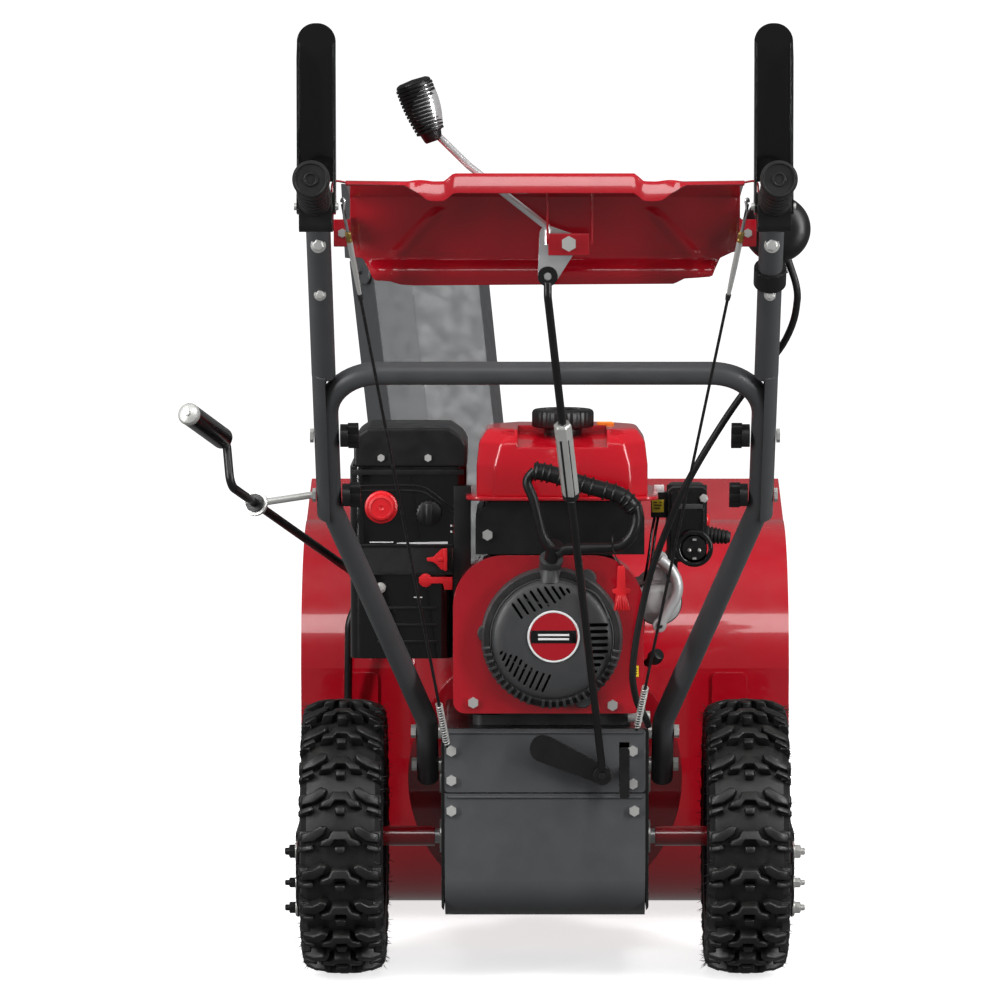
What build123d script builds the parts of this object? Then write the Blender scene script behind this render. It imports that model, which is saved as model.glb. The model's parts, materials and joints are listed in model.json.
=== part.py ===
from build123d import *
import math
import os

os.makedirs("parts", exist_ok=True)

# A two-stage walk-behind snow blower. Millimetres. X is to the operator's right, Y is forward, Z is up.
# The origin is on the ground, under the middle of the wheel axle.

# --- driving dimensions ---
WHEEL_X = 240
WHEEL_R = 165
WHEEL_W = 104
RIM_R = 75.9
AXLE_Z = 165
AXLE_R = 9

FRAME_HALF = 122
FRAME_REAR = -120
FRAME_FRONT = 150
FRAME_LOW = 94
DECK_Z = 311
SHEET = 2.5
COVER_Y = -125
COVER_HALF = 118
COVER_SPLIT = 235

IMPELLER_Z = 213
DRUM_R = 168
DRUM_REAR = 152
AUGER_Y = 500
AUGER_Z = 175
AUGER_R = 150
HOUSING_HALF = 306

CHUTE_X = -105
CHUTE_Y = 235
CHUTE_Z = 430
CHUTE_TURN = 25

CRANK_X = 8
CRANK_Z = 421
CARB_REAR = -100
DISC_Z = 232
DISC_FACE_Y = 52
AUGER_BELT_Y = 126
DRIVE_BELT_Y = 90
HEX_Y = 1.5
HEX_Z = 235

HANDLE_X = 245
LEG_X = 140
HANDLE_TUBE = 13
UPPER_X = 247
UPPER_TUBE = 13.5
PIVOT_Y = -60
PIVOT_Z = 312
HANDLE_LEAN = 0.7536
GRIP_TOP = (UPPER_X, -524, 928)
GRIP_END = (UPPER_X, -680, 970)
LEVER_Y = -560
LEVER_Z = 937.7
WIRE_HOLE = (18, 1.3)

SHIFT_PIVOT = Vector(26, -480, 895)
SHIFT_EYE = Vector(3, -480, 859)
ARM_PIVOT = Vector(-2, -140, 290)
ARM_END = Vector(67, -140, 259)
CRANK_EYE = Vector(-330, -275, 590)
CRANK_WORM = Vector(-190, 200, 429)
LIGHT = Vector(257, -420, 908)
RUN = 0.05
ROD_AXIS = (CRANK_WORM - CRANK_EYE).normalized()


def save(piece, label):
    """Names a finished piece and writes it."""
    piece.label = label
    export_step(piece, f"parts/{label}.step")


def at_x(x, y=0, z=0):
    """A plane across the machine that looks along +X, its own x along Y."""
    return Plane(origin=(x, y, z), x_dir=(0, 1, 0), z_dir=(1, 0, 0))


def at_y(y, x=0, z=0):
    """An upright plane that looks forward, along +Y, its own x along -X."""
    return Plane(origin=(x, y, z), x_dir=(-1, 0, 0), z_dir=(0, 1, 0))


def rear_face(y):
    """An upright plane seen as the operator sees it: x along X, y along Z, looking along -Y."""
    return Plane(origin=(0, y, 0), x_dir=(1, 0, 0), z_dir=(0, -1, 0))


def handle_y(z):
    """Where the handle's straight part is at height z."""
    return PIVOT_Y - HANDLE_LEAN * (z - PIVOT_Z)


def along(start, end, x_dir=(1, 0, 0)):
    """A plane at start that looks towards end."""
    return Plane(origin=start, x_dir=x_dir, z_dir=Vector(*end) - Vector(*start))


def rod(points, radius, bends):
    """A round bar along straight runs joined by arcs."""
    with BuildPart() as bar:
        with BuildLine() as route:
            FilletPolyline(*points, radius=bends)
        with BuildSketch(Plane(origin=route.line @ 0, z_dir=route.line % 0)):
            Circle(radius)
        sweep(path=route.line)
    return bar.part


def pin(start, end, radius):
    """A straight round bar between two points."""
    length = (Vector(*end) - Vector(*start)).length
    with BuildPart() as bar:
        with BuildSketch(along(start, end, None)):
            Circle(radius)
        extrude(amount=length)
    return bar.part


# ------------------------------------------------------------------ wheels and axle
with BuildPart() as axle:
    with BuildSketch(at_x(-286, 0, AXLE_Z)):
        Circle(AXLE_R)
    extrude(amount=572)
    # The driven gear, pinned on the axle just inside the left side plate.
    with BuildSketch(at_x(-100, 0, AXLE_Z)):
        Circle(48.5)
        with PolarLocations(48, 36):
            Trapezoid(7, 6.4, 75, rotation=-90)
        Circle(AXLE_R - 0.5, mode=Mode.SUBTRACT)
    extrude(amount=10)
save(axle.part, "axle")

with BuildPart() as wheel_rims:
    for side in (-1, 1):
        plane = at_x(side * WHEEL_X, 0, AXLE_Z)
        with BuildSketch(plane):
            Circle(RIM_R)
            Circle(RIM_R - SHEET, mode=Mode.SUBTRACT)
        extrude(amount=39, both=True)
        # Bead flanges, one at each edge of the barrel.
        for edge in (-39, 36.5):
            with BuildSketch(plane.offset(edge)):
                Circle(85)
                Circle(RIM_R - SHEET, mode=Mode.SUBTRACT)
            extrude(amount=SHEET)
        # The disc, set towards the machine's outside, with four round holes.
        with BuildSketch(plane.offset(side * 14)):
            Circle(RIM_R - 1)
            Circle(11, mode=Mode.SUBTRACT)
            with PolarLocations(48, 4, start_angle=45):
                Circle(11, mode=Mode.SUBTRACT)
        extrude(amount=3)
        # The hub tube runs in to the frame.
        with BuildSketch(at_x(side * 132, 0, AXLE_Z)):
            Circle(12)
            Circle(AXLE_R + RUN, mode=Mode.SUBTRACT)
        extrude(amount=side * 150)
save(wheel_rims.part, "wheel_rims")

with BuildPart() as tyres:
    for side in (-1, 1):
        wheel = at_x(side * WHEEL_X, 0, AXLE_Z)
        with BuildPart(mode=Mode.PRIVATE) as tyre:
            with BuildSketch(Plane(origin=wheel.origin, x_dir=(1, 0, 0), z_dir=(0, -1, 0))):
                with Locations((0, 116.5)):
                    RectangleRounded(WHEEL_W - 4, 81, 27)
                    RectangleRounded(WHEEL_W - 18, 67, 20, mode=Mode.SUBTRACT)
                with Locations((0, 80)):
                    Rectangle(54, 16, mode=Mode.SUBTRACT)
            revolve(axis=Axis(wheel.origin, (1, 0, 0)))
            # Tread lugs, staggered left and right.
            for half in (-1, 1):
                with BuildSketch(wheel.offset(half * 25 - 23)):
                    with PolarLocations(157, 20, start_angle=half * 4.5):
                        Rectangle(16, 20)
                    Circle(155, mode=Mode.SUBTRACT)
                extrude(amount=46)
            with BuildSketch(wheel.offset(-WHEEL_W / 2)):
                Circle(WHEEL_R)
                Circle(RIM_R + 0.1, mode=Mode.SUBTRACT)
            extrude(amount=WHEEL_W, mode=Mode.INTERSECT)
            for edge in (-52, 36.4):
                with BuildSketch(wheel.offset(edge)):
                    Circle(85.3)
                extrude(amount=15.6, mode=Mode.SUBTRACT)
        add(tyre.part)
save(tyres.part, "tyres")

# ------------------------------------------------------------------ frame box and its covers
with BuildPart() as frame_box:
    with BuildSketch(rear_face(FRAME_REAR)):
        with Locations((0, (FRAME_LOW + DECK_Z) / 2)):
            RectangleRounded(2 * FRAME_HALF, DECK_Z - FRAME_LOW, 6)
    extrude(amount=FRAME_REAR - FRAME_FRONT)
    with BuildSketch(rear_face(FRAME_REAR)):
        with Locations((0, (DECK_Z - 3) / 2)):
            Rectangle(2 * FRAME_HALF - 6, DECK_Z - 3)
    extrude(amount=FRAME_REAR - FRAME_FRONT, mode=Mode.SUBTRACT)
    # Flanges turned in along the rear edges, which carry the two covers.
    for side in (-1, 1):
        with BuildSketch(rear_face(FRAME_REAR)):
            with Locations((side * (FRAME_HALF - 10), 218)):
                Rectangle(20, 164)
        extrude(amount=-SHEET)
    with BuildSketch(rear_face(FRAME_REAR)):
        with Locations((0, DECK_Z - 6)):
            Rectangle(2 * FRAME_HALF - 4, 10)
    extrude(amount=-SHEET)
    # A cross member holds the drive disc's stub.
    with BuildSketch(at_y(103)):
        with Locations((0, DISC_Z)):
            Rectangle(2 * FRAME_HALF - 6, 44)
            Circle(8 + RUN, mode=Mode.SUBTRACT)
    extrude(amount=4)
    # Openings: the belts through the deck, axle and hexagon shaft bushes in the sides.
    with BuildSketch(Plane.XY.offset(DECK_Z - 6)):
        with Locations((0, 109)):
            Rectangle(170, 62)
    extrude(amount=12, mode=Mode.SUBTRACT)
    with BuildSketch(at_x(-FRAME_HALF - 5, 0, AXLE_Z)):
        Circle(15)
    extrude(amount=2 * FRAME_HALF + 10, mode=Mode.SUBTRACT)
    with BuildSketch(at_x(-FRAME_HALF - 5, HEX_Y, HEX_Z)):
        Circle(12)
    extrude(amount=2 * FRAME_HALF + 10, mode=Mode.SUBTRACT)
save(frame_box.part, "frame_box")

with BuildPart() as bearings:
    for side in (-1, 1):
        # Axle bush and hexagon shaft bush, each with a flange outside the side plate.
        for y, z, bore, body in ((0, AXLE_Z, AXLE_R, 15), (HEX_Y, HEX_Z, 7, 12)):
            with BuildSketch(at_x(side * (FRAME_HALF - 3), y, z)):
                Circle(body)
                Circle(bore + RUN, mode=Mode.SUBTRACT)
            extrude(amount=side * 3)
            with BuildSketch(at_x(side * FRAME_HALF, y, z)):
                Circle(body + 5)
                Circle(bore + RUN, mode=Mode.SUBTRACT)
            extrude(amount=side * 4)
        # Auger shaft bearing on the housing's side.
        with BuildSketch(at_x(side * (HOUSING_HALF - SHEET), AUGER_Y, AUGER_Z)):
            Circle(16)
            Circle(AXLE_R + RUN, mode=Mode.SUBTRACT)
        extrude(amount=side * (SHEET + 6))
        with BuildSketch(at_x(side * HOUSING_HALF, AUGER_Y, AUGER_Z)):
            Circle(27)
            Circle(15.9, mode=Mode.SUBTRACT)
        extrude(amount=side * 3)
    # Impeller shaft bearing in the drum's rear wall.
    with BuildSketch(at_y(DRUM_REAR - 8, 0, IMPELLER_Z)):
        Circle(23)
        Circle(AXLE_R + RUN, mode=Mode.SUBTRACT)
    extrude(amount=16)
save(bearings.part, "bearings")

with BuildPart() as rear_cover_upper:
    with BuildSketch(rear_face(FRAME_REAR)):
        with Locations((0, (COVER_SPLIT + DECK_Z) / 2)):
            RectangleRounded(2 * COVER_HALF, DECK_Z - COVER_SPLIT - 1, 5)
        # Slot for the clutch arm, and the hole for the shift arm's pivot.
        with Locations((93, 268)):
            Rectangle(12, 54, mode=Mode.SUBTRACT)
        with Locations((ARM_PIVOT.X, ARM_PIVOT.Z)):
            Circle(7 + RUN, mode=Mode.SUBTRACT)
    extrude(amount=FRAME_REAR - COVER_Y)
save(rear_cover_upper.part, "rear_cover_upper")

with BuildPart() as rear_cover_lower:
    with BuildSketch(at_x(-COVER_HALF)):
        with BuildLine():
            Polyline((FRAME_REAR, COVER_SPLIT - 1), (COVER_Y, COVER_SPLIT - 1), (COVER_Y, 130))
            ThreePointArc((COVER_Y, 130), (-111, 97), (-78, 83))
            Polyline((-78, 83), (120, 83), (120, 86), (-78, 86))
            ThreePointArc((-78, 86), (-108, 99), (FRAME_REAR - 0.2, 130))
            Line((FRAME_REAR - 0.2, 130), (FRAME_REAR, COVER_SPLIT - 1))
        make_face()
    extrude(amount=2 * COVER_HALF)
    # Side edges turned up to meet the frame's side plates.
    for side in (-1, 1):
        with BuildSketch(at_x(side * (COVER_HALF - 1.5))):
            with Locations((10, 88.5)):
                Rectangle(180, 9)
        extrude(amount=1.5, both=True)
save(rear_cover_lower.part, "rear_cover_lower")


# ------------------------------------------------------------------ auger housing and impeller drum
def housing_face(shrink):
    """The housing's side outline, moved in by shrink on its closed edges."""
    bottom = 15 + shrink
    rear = 305 + shrink
    top = 540 - shrink
    with BuildSketch() as outline:
        with BuildLine():
            Line((662, bottom), (440, bottom))
            ThreePointArc((440, bottom), (345 + 0.7 * shrink, 54 + 0.7 * shrink), (rear, 150))
            Line((rear, 150), (rear, 330))
            ThreePointArc((rear, 330), (366 + 0.7 * shrink, 452 - 0.7 * shrink), (490, 500 - shrink))
            Line((490, 500 - shrink), (640, top))
            Line((640, top), (662, 470))
            Line((662, 470), (662, bottom))
        make_face()
    return outline.sketch


with BuildPart() as auger_housing:
    with BuildSketch(at_x(-HOUSING_HALF)):
        add(housing_face(0))
    extrude(amount=2 * HOUSING_HALF)
    with BuildSketch(at_x(SHEET - HOUSING_HALF)):
        add(housing_face(SHEET))
        with Locations((670, 260)):
            Rectangle(20, 490 - SHEET)
        with BuildLine():
            Polyline((630, 535), (640, 540 - SHEET), (670, 545), (670, 460), (630, 460), (630, 535))
        make_face()
    extrude(amount=2 * (HOUSING_HALF - SHEET), mode=Mode.SUBTRACT)
    with BuildSketch(at_y(280, 0, IMPELLER_Z)):
        Circle(DRUM_R - SHEET)
    extrude(amount=200, mode=Mode.SUBTRACT)
    # Shallow stiffening panels pressed outwards beside the drum.
    for side in (-1, 1):
        with BuildSketch(rear_face(305)):
            with Locations((side * 231, 240)):
                RectangleRounded(44, 170, 8)
        extrude(amount=4)
        # Auger shaft bearing holes, and the turned edge along each side's front.
        with BuildSketch(at_x(side * (HOUSING_HALF + 5), AUGER_Y, AUGER_Z)):
            Circle(16)
        extrude(amount=-side * 12, mode=Mode.SUBTRACT)
        with BuildSketch(at_x(side * HOUSING_HALF, 657, 250)):
            Rectangle(10, 436)
        extrude(amount=side * 5)
save(auger_housing.part, "auger_housing")

with BuildPart() as impeller_housing:
    with BuildSketch(at_y(DRUM_REAR, 0, IMPELLER_Z)):
        Circle(DRUM_R)
    extrude(amount=260)
    # The outlet tower rises on the left to the chute's foot.
    with BuildSketch(Plane.XY.offset(IMPELLER_Z)):
        with Locations((CHUTE_X, CHUTE_Y)):
            Circle(62)
    extrude(amount=CHUTE_Z - IMPELLER_Z - 6)
    with BuildSketch(at_y(DRUM_REAR + SHEET, 0, IMPELLER_Z)):
        Circle(DRUM_R - SHEET)
    extrude(amount=300, mode=Mode.SUBTRACT)
    with BuildSketch(Plane.XY.offset(IMPELLER_Z)):
        with Locations((CHUTE_X, CHUTE_Y)):
            Circle(62 - SHEET)
    extrude(amount=CHUTE_Z, mode=Mode.SUBTRACT)
    with BuildSketch(at_y(DRUM_REAR - 1, 0, IMPELLER_Z)):
        Circle(23)
    extrude(amount=SHEET + 2, mode=Mode.SUBTRACT)
    with BuildSketch(at_x(-HOUSING_HALF)):
        add(housing_face(0))
    extrude(amount=2 * HOUSING_HALF, mode=Mode.SUBTRACT)
save(impeller_housing.part, "impeller_housing")

with BuildPart() as wear_parts:
    # The scraper bar under the housing's front edge.
    with BuildSketch(at_x(-296)):
        with BuildLine():
            Polyline((600, 15), (600, 12), (660, 4), (668, 4), (668, 8), (662, 15), (600, 15))
        make_face()
    extrude(amount=592)
    # Reversible skid shoes, channel shaped, one outside each side plate.
    for side in (-1, 1):
        with BuildSketch(at_x(side * HOUSING_HALF, 560, 47)):
            RectangleRounded(170, 94, 14)
        extrude(amount=side * 3.5)
        with BuildSketch(at_x(side * HOUSING_HALF, 560, 47)):
            RectangleRounded(170, 94, 14)
            RectangleRounded(163, 87, 11, mode=Mode.SUBTRACT)
        extrude(amount=side * 16)
        with BuildSketch(at_x(side * HOUSING_HALF, 560, 47)):
            with Locations((-45, -10), (45, -10)):
                Circle(5)
        extrude(amount=side * 20, mode=Mode.SUBTRACT)
save(wear_parts.part, "wear_parts")

# ------------------------------------------------------------------ impeller, auger and their drive
with BuildPart() as impeller:
    with BuildSketch(at_y(172, 0, IMPELLER_Z)):
        Circle(22)
        Circle(AXLE_R + RUN, mode=Mode.SUBTRACT)
    extrude(amount=122)
    with BuildSketch(at_y(172, 0, IMPELLER_Z)):
        with PolarLocations(90, 4, start_angle=20):
            Rectangle(142, 4)
        Circle(20, mode=Mode.SUBTRACT)
    extrude(amount=108)
    with BuildSketch(at_y(172, 0, IMPELLER_Z)):
        Circle(70)
        Circle(20, mode=Mode.SUBTRACT)
    extrude(amount=3)
    # Each blade's tip is turned to scoop the snow.
    with BuildSketch(at_y(172, 0, IMPELLER_Z)):
        with PolarLocations(158, 4, start_angle=23.5):
            Rectangle(4, 20)
        Circle(161.5, mode=Mode.INTERSECT)
    extrude(amount=108)
save(impeller.part, "impeller")

with BuildPart() as impeller_shaft:
    with BuildSketch(at_y(112, 0, IMPELLER_Z)):
        Circle(AXLE_R)
    extrude(amount=434)
    # Grooved pulley behind the drum.
    for y, radius, width in ((118, 102, 2.5), (120.5, 95, 11), (131.5, 102, 2.5)):
        with BuildSketch(at_y(y, 0, IMPELLER_Z)):
            Circle(radius)
            Circle(AXLE_R - 1, mode=Mode.SUBTRACT)
        extrude(amount=width)
    with BuildSketch(at_y(112, 0, IMPELLER_Z)):
        with PolarLocations(58, 5):
            Circle(20)
    extrude(amount=30, mode=Mode.SUBTRACT)
    # The worm above the auger's wheel.
    with BuildSketch(at_y(AUGER_Y - 24, 0, IMPELLER_Z)):
        Circle(9.6)
    extrude(amount=48)
save(impeller_shaft.part, "impeller_shaft")

with BuildPart() as auger_shaft:
    with BuildSketch(at_x(-318, AUGER_Y, AUGER_Z)):
        Circle(AXLE_R)
    extrude(amount=636)
    with BuildSketch(at_x(-8, AUGER_Y, AUGER_Z)):
        Circle(25.5)
        with PolarLocations(26, 20):
            Rectangle(4, 3.2)
        Circle(AXLE_R - 1, mode=Mode.SUBTRACT)
    extrude(amount=16)
save(auger_shaft.part, "auger_shaft")

with BuildPart() as auger_gearbox:
    with BuildSketch(at_x(-24, AUGER_Y, AUGER_Z)):
        Circle(38)
        with Locations((0, 38)):
            Circle(22)
        with Locations((0, 19)):
            Rectangle(44, 40)
    extrude(amount=48)
    with BuildSketch(at_x(-44, AUGER_Y, AUGER_Z)):
        Circle(19)
    extrude(amount=88)
    with BuildSketch(at_y(AUGER_Y - 66, 0, IMPELLER_Z)):
        Circle(19)
    extrude(amount=115)
    # Hollow inside for the worm and its wheel.
    with BuildSketch(at_x(-19, AUGER_Y, AUGER_Z)):
        Circle(33)
    extrude(amount=38, mode=Mode.SUBTRACT)
    with BuildSketch(at_y(AUGER_Y - 30, 0, IMPELLER_Z)):
        Circle(13)
    extrude(amount=66, mode=Mode.SUBTRACT)
    with BuildSketch(at_x(-50, AUGER_Y, AUGER_Z)):
        Circle(AXLE_R + RUN)
    extrude(amount=100, mode=Mode.SUBTRACT)
    with BuildSketch(at_y(AUGER_Y - 70, 0, IMPELLER_Z)):
        Circle(AXLE_R + RUN)
    extrude(amount=118, mode=Mode.SUBTRACT)
save(auger_gearbox.part, "auger_gearbox")


with BuildPart() as auger_flights:
    # The right half: its tube, a ribbon whose hand brings the snow to the middle, and flat arms between them.
    with BuildSketch(at_x(52, AUGER_Y, AUGER_Z)):
        Circle(19)
    extrude(amount=240)
    with BuildLine() as ribbon:
        Helix(pitch=190, height=228, radius=AUGER_R - 20, center=(58, AUGER_Y, AUGER_Z), direction=(1, 0, 0))
    ribbon_start = ribbon.line @ 0
    outward = ribbon_start - Vector(ribbon_start.X, AUGER_Y, AUGER_Z)
    with BuildSketch(Plane(origin=ribbon_start, x_dir=outward, z_dir=ribbon.line % 0)):
        Rectangle(40, 4)
    sweep(path=ribbon.line, normal=(1, 0, 0))
    for share in (0.03, 0.34, 0.66, 0.97):
        place = ribbon.line @ share
        arm_foot = Vector(place.X, AUGER_Y, AUGER_Z)
        with BuildSketch(Plane(origin=arm_foot, x_dir=(1, 0, 0), z_dir=place - arm_foot)):
            Rectangle(8, 26)
        extrude(amount=AUGER_R - 24)
    with BuildSketch(at_x(50, AUGER_Y, AUGER_Z)):
        Circle(AXLE_R + RUN)
    extrude(amount=250, mode=Mode.SUBTRACT)
    mirror(about=Plane.YZ)
save(auger_flights.part, "auger_flights")

with BuildPart() as drive_disc:
    with BuildSketch(at_y(DISC_FACE_Y, 0, DISC_Z)):
        Circle(70)
    extrude(amount=6)
    with BuildSketch(at_y(DISC_FACE_Y, 0, DISC_Z)):
        Circle(8)
    extrude(amount=60)
    for y, radius, width in ((82, 60, 2.5), (84.5, 54, 11), (95.5, 60, 2.5)):
        with BuildSketch(at_y(y, 0, DISC_Z)):
            Circle(radius)
        extrude(amount=width)
save(drive_disc.part, "drive_disc")

with BuildPart() as hex_shaft:
    with BuildSketch(at_x(-105, HEX_Y, HEX_Z)):
        RegularPolygon(8, 6)
    extrude(amount=210)
    with BuildSketch(at_x(-124, HEX_Y, HEX_Z)):
        Circle(7)
    extrude(amount=248)
    # The pinion that turns the axle's gear.
    with BuildSketch(at_x(-100, HEX_Y, HEX_Z)):
        Circle(14)
        with PolarLocations(15.5, 12, start_angle=15):
            Trapezoid(4.6, 7, 78, rotation=-90)
    extrude(amount=10)
save(hex_shaft.part, "hex_shaft")

with BuildPart() as friction_wheel:
    with BuildSketch(at_x(20, HEX_Y, HEX_Z)):
        Circle(50)
        RegularPolygon(8.1, 6, mode=Mode.SUBTRACT)
    extrude(amount=10)
    with BuildSketch(at_x(10, HEX_Y, HEX_Z)):
        Circle(20)
        RegularPolygon(8.1, 6, mode=Mode.SUBTRACT)
    extrude(amount=30)
save(friction_wheel.part, "friction_wheel")


def belt(y, low_x, low_z, low_r, high_r):
    """A belt round two pulleys, the upper one on the engine's shaft."""
    with BuildPart() as loop:
        with BuildSketch(rear_face(y + 5)):
            with Locations((low_x, low_z)):
                Circle(low_r + 8)
            with Locations((CRANK_X, CRANK_Z)):
                Circle(high_r + 8)
            make_hull()
            with BuildSketch(rear_face(y + 5), mode=Mode.SUBTRACT):
                with Locations((low_x, low_z)):
                    Circle(low_r)
                with Locations((CRANK_X, CRANK_Z)):
                    Circle(high_r)
                make_hull()
        extrude(amount=10)
    return loop.part


with BuildPart() as belts:
    add(belt(AUGER_BELT_Y, 0, IMPELLER_Z, 95.4, 35.4))
    add(belt(DRIVE_BELT_Y, 0, DISC_Z, 54.4, 30.4))
save(belts.part, "belts")

with BuildPart() as belt_cover:
    with BuildSketch(Plane.XY.offset(DECK_Z)):
        with Locations((3, 107)):
            RectangleRounded(190, 82, 12)
    extrude(amount=174)
    fillet(belt_cover.faces().sort_by(Axis.Z)[-1].edges(), 14)
    with BuildSketch(Plane.XY.offset(DECK_Z)):
        with Locations((3, 106.5)):
            RectangleRounded(185, 76, 10)
    extrude(amount=171.5, mode=Mode.SUBTRACT)
    with BuildSketch(at_y(64, CRANK_X, CRANK_Z)):
        Circle(16)
    extrude(amount=6, mode=Mode.SUBTRACT)
save(belt_cover.part, "belt_cover")

# ------------------------------------------------------------------ engine
ENGINE_REAR = -95
ENGINE_FRONT = 62

with BuildPart() as engine_block:
    # Crankcase on a flanged foot.
    with BuildSketch(Plane.XY.offset(DECK_Z)):
        with Locations((8, (ENGINE_REAR + ENGINE_FRONT) / 2)):
            RectangleRounded(186, 150, 12)
    extrude(amount=12)
    with BuildSketch(Plane.XY.offset(DECK_Z + 12)):
        with Locations((20, (ENGINE_REAR + ENGINE_FRONT) / 2)):
            RectangleRounded(150, ENGINE_FRONT - ENGINE_REAR - 6, 14)
    extrude(amount=165)
    with BuildSketch(Plane.XY.offset(DECK_Z + 177)):
        with Locations((20, -28)):
            RectangleRounded(120, 84, 14)
    extrude(amount=60)
    # Finned cylinder on the left.
    with BuildSketch(at_x(-54, -20, 445)):
        RectangleRounded(96, 84, 14)
    extrude(amount=-24)
    for fin in range(5):
        with BuildSketch(at_x(-57 - 5 * fin, -20, 445)):
            RectangleRounded(124, 108, 16)
        extrude(amount=-2)
    # Bore for the crankshaft.
    with BuildSketch(at_y(ENGINE_REAR - 20, CRANK_X, CRANK_Z)):
        Circle(12.5 + RUN)
    extrude(amount=200, mode=Mode.SUBTRACT)
save(engine_block.part, "engine_block")

with BuildPart() as crankshaft:
    with BuildSketch(at_y(-120, CRANK_X, CRANK_Z)):
        Circle(12.5)
    extrude(amount=256)
    # Flywheel and its fan behind the block.
    with BuildSketch(at_y(-118, CRANK_X, CRANK_Z)):
        Circle(72)
    extrude(amount=18)
    with BuildSketch(at_y(-128, CRANK_X, CRANK_Z)):
        with PolarLocations(55, 12):
            Rectangle(30, 3)
        Circle(12.5)
    extrude(amount=11)
    # Double pulley in front of it.
    for rear, rim in ((82, 37), (118, 42)):
        for y, radius, width in ((rear, rim, 2.5), (rear + 2.5, rim - 7, 11), (rear + 13.5, rim, 2.5)):
            with BuildSketch(at_y(y, CRANK_X, CRANK_Z)):
                Circle(radius)
            extrude(amount=width)
save(crankshaft.part, "crankshaft")

with BuildPart() as engine_shroud:
    with BuildSketch(rear_face(ENGINE_REAR - 3)):
        with Locations((4, 424)):
            RectangleRounded(223, 186, 60)
        with Locations((4, 363)):
            RectangleRounded(223, 64, 14)
    extrude(amount=42)
    with BuildSketch(rear_face(ENGINE_REAR - 3)):
        with Locations((CRANK_X, CRANK_Z)):
            Circle(82)
    extrude(amount=38, mode=Mode.SUBTRACT)
    with BuildSketch(rear_face(ENGINE_REAR - 3)):
        with Locations((CRANK_X, CRANK_Z)):
            Circle(64)
    extrude(amount=60, mode=Mode.SUBTRACT)
save(engine_shroud.part, "engine_shroud")

with BuildPart() as engine_top_cover:
    with BuildSketch(rear_face(-139.5)):
        with BuildLine():
            Polyline((-81, 518), (-81, 562), (-66, 580), (100, 580), (116, 562), (116, 518), (-81, 518))
        make_face()
    extrude(amount=-159.5)
    with BuildSketch(rear_face(-136.5)):
        with Locations((18, 530)):
            Rectangle(180, 90)
    extrude(amount=-153.5, mode=Mode.SUBTRACT)
save(engine_top_cover.part, "engine_top_cover")

RECOIL_BASE = -140.2
with BuildPart() as recoil_cover:
    with BuildSketch(rear_face(RECOIL_BASE)):
        with Locations((CRANK_X, CRANK_Z)):
            Circle(83)
    extrude(amount=29.8)
    fillet(recoil_cover.faces().sort_by(Axis.Y)[0].edges(), 10)
    with BuildSketch(rear_face(RECOIL_BASE)):
        with Locations((CRANK_X, CRANK_Z)):
            Circle(78)
    extrude(amount=26, mode=Mode.SUBTRACT)
    # Rope boss at the top, and three bolt ears round the rim.
    with BuildSketch(rear_face(RECOIL_BASE)):
        with Locations((3, 513)):
            RectangleRounded(26, 22, 8)
            with Locations((0, 0)):
                Circle(5, mode=Mode.SUBTRACT)
    extrude(amount=28)
    with BuildSketch(rear_face(RECOIL_BASE)):
        for x, z in ((-58, 402.3), (53.6, 497), (50.4, 356)):
            with Locations((x * 1.1, CRANK_Z + (z - CRANK_Z) * 1.04)):
                Circle(11)
        with Locations((CRANK_X, CRANK_Z)):
            Circle(80, mode=Mode.SUBTRACT)
    extrude(amount=6)
    # Cooling slots, in three fans.
    with BuildSketch(rear_face(-160)):
        with Locations((CRANK_X, CRANK_Z)):
            for first in (100, 200, 320):
                for slot in range(6):
                    with PolarLocations(52, 1, start_angle=first + 11 * slot):
                        Rectangle(26, 4.6)
    extrude(amount=12, mode=Mode.SUBTRACT)
save(recoil_cover.part, "recoil_cover")

HANDLE_REAR = -200
with BuildPart() as recoil_handle:
    with BuildSketch(rear_face(HANDLE_REAR + 24)):
        with BuildLine():
            FilletPolyline(
                (-38, 637), (114, 588), (106, 519), (14, 514), radius=(16, 22, 18, 14), close=True
            )
        make_face()
        offset(amount=-15, mode=Mode.SUBTRACT)
    extrude(amount=22)
    with BuildSketch(rear_face(-170.5)):
        with Locations((9, 524)):
            RectangleRounded(20, 14, 5)
    extrude(amount=8)
save(recoil_handle.part, "recoil_handle")

with BuildPart() as fuel_tank:
    with BuildSketch(Plane.XY.offset(582)):
        with Locations((20, -65)):
            RectangleRounded(217, 170, 22)
    extrude(amount=4)
    with BuildSketch(Plane.XY.offset(586)):
        with Locations((20, -65)):
            RectangleRounded(197, 160, 24)
    with BuildSketch(Plane.XY.offset(640)):
        with Locations((20, -65)):
            RectangleRounded(185, 148, 30)
    loft()
    with BuildSketch(Plane.XY.offset(640)):
        with Locations((20, -65)):
            RectangleRounded(185, 148, 30)
    extrude(amount=22, taper=38)
    with BuildSketch(Plane.XY.offset(588)):
        with Locations((20, -65)):
            RectangleRounded(178, 140, 24)
    extrude(amount=66, mode=Mode.SUBTRACT, taper=8)
    # The filler neck.
    with BuildSketch(Plane.XY.offset(650)):
        with Locations((21, -75)):
            Circle(26)
    extrude(amount=14)
    with BuildSketch(Plane.XY.offset(645)):
        with Locations((21, -75)):
            Circle(22)
    extrude(amount=25, mode=Mode.SUBTRACT)
save(fuel_tank.part, "fuel_tank")

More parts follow.
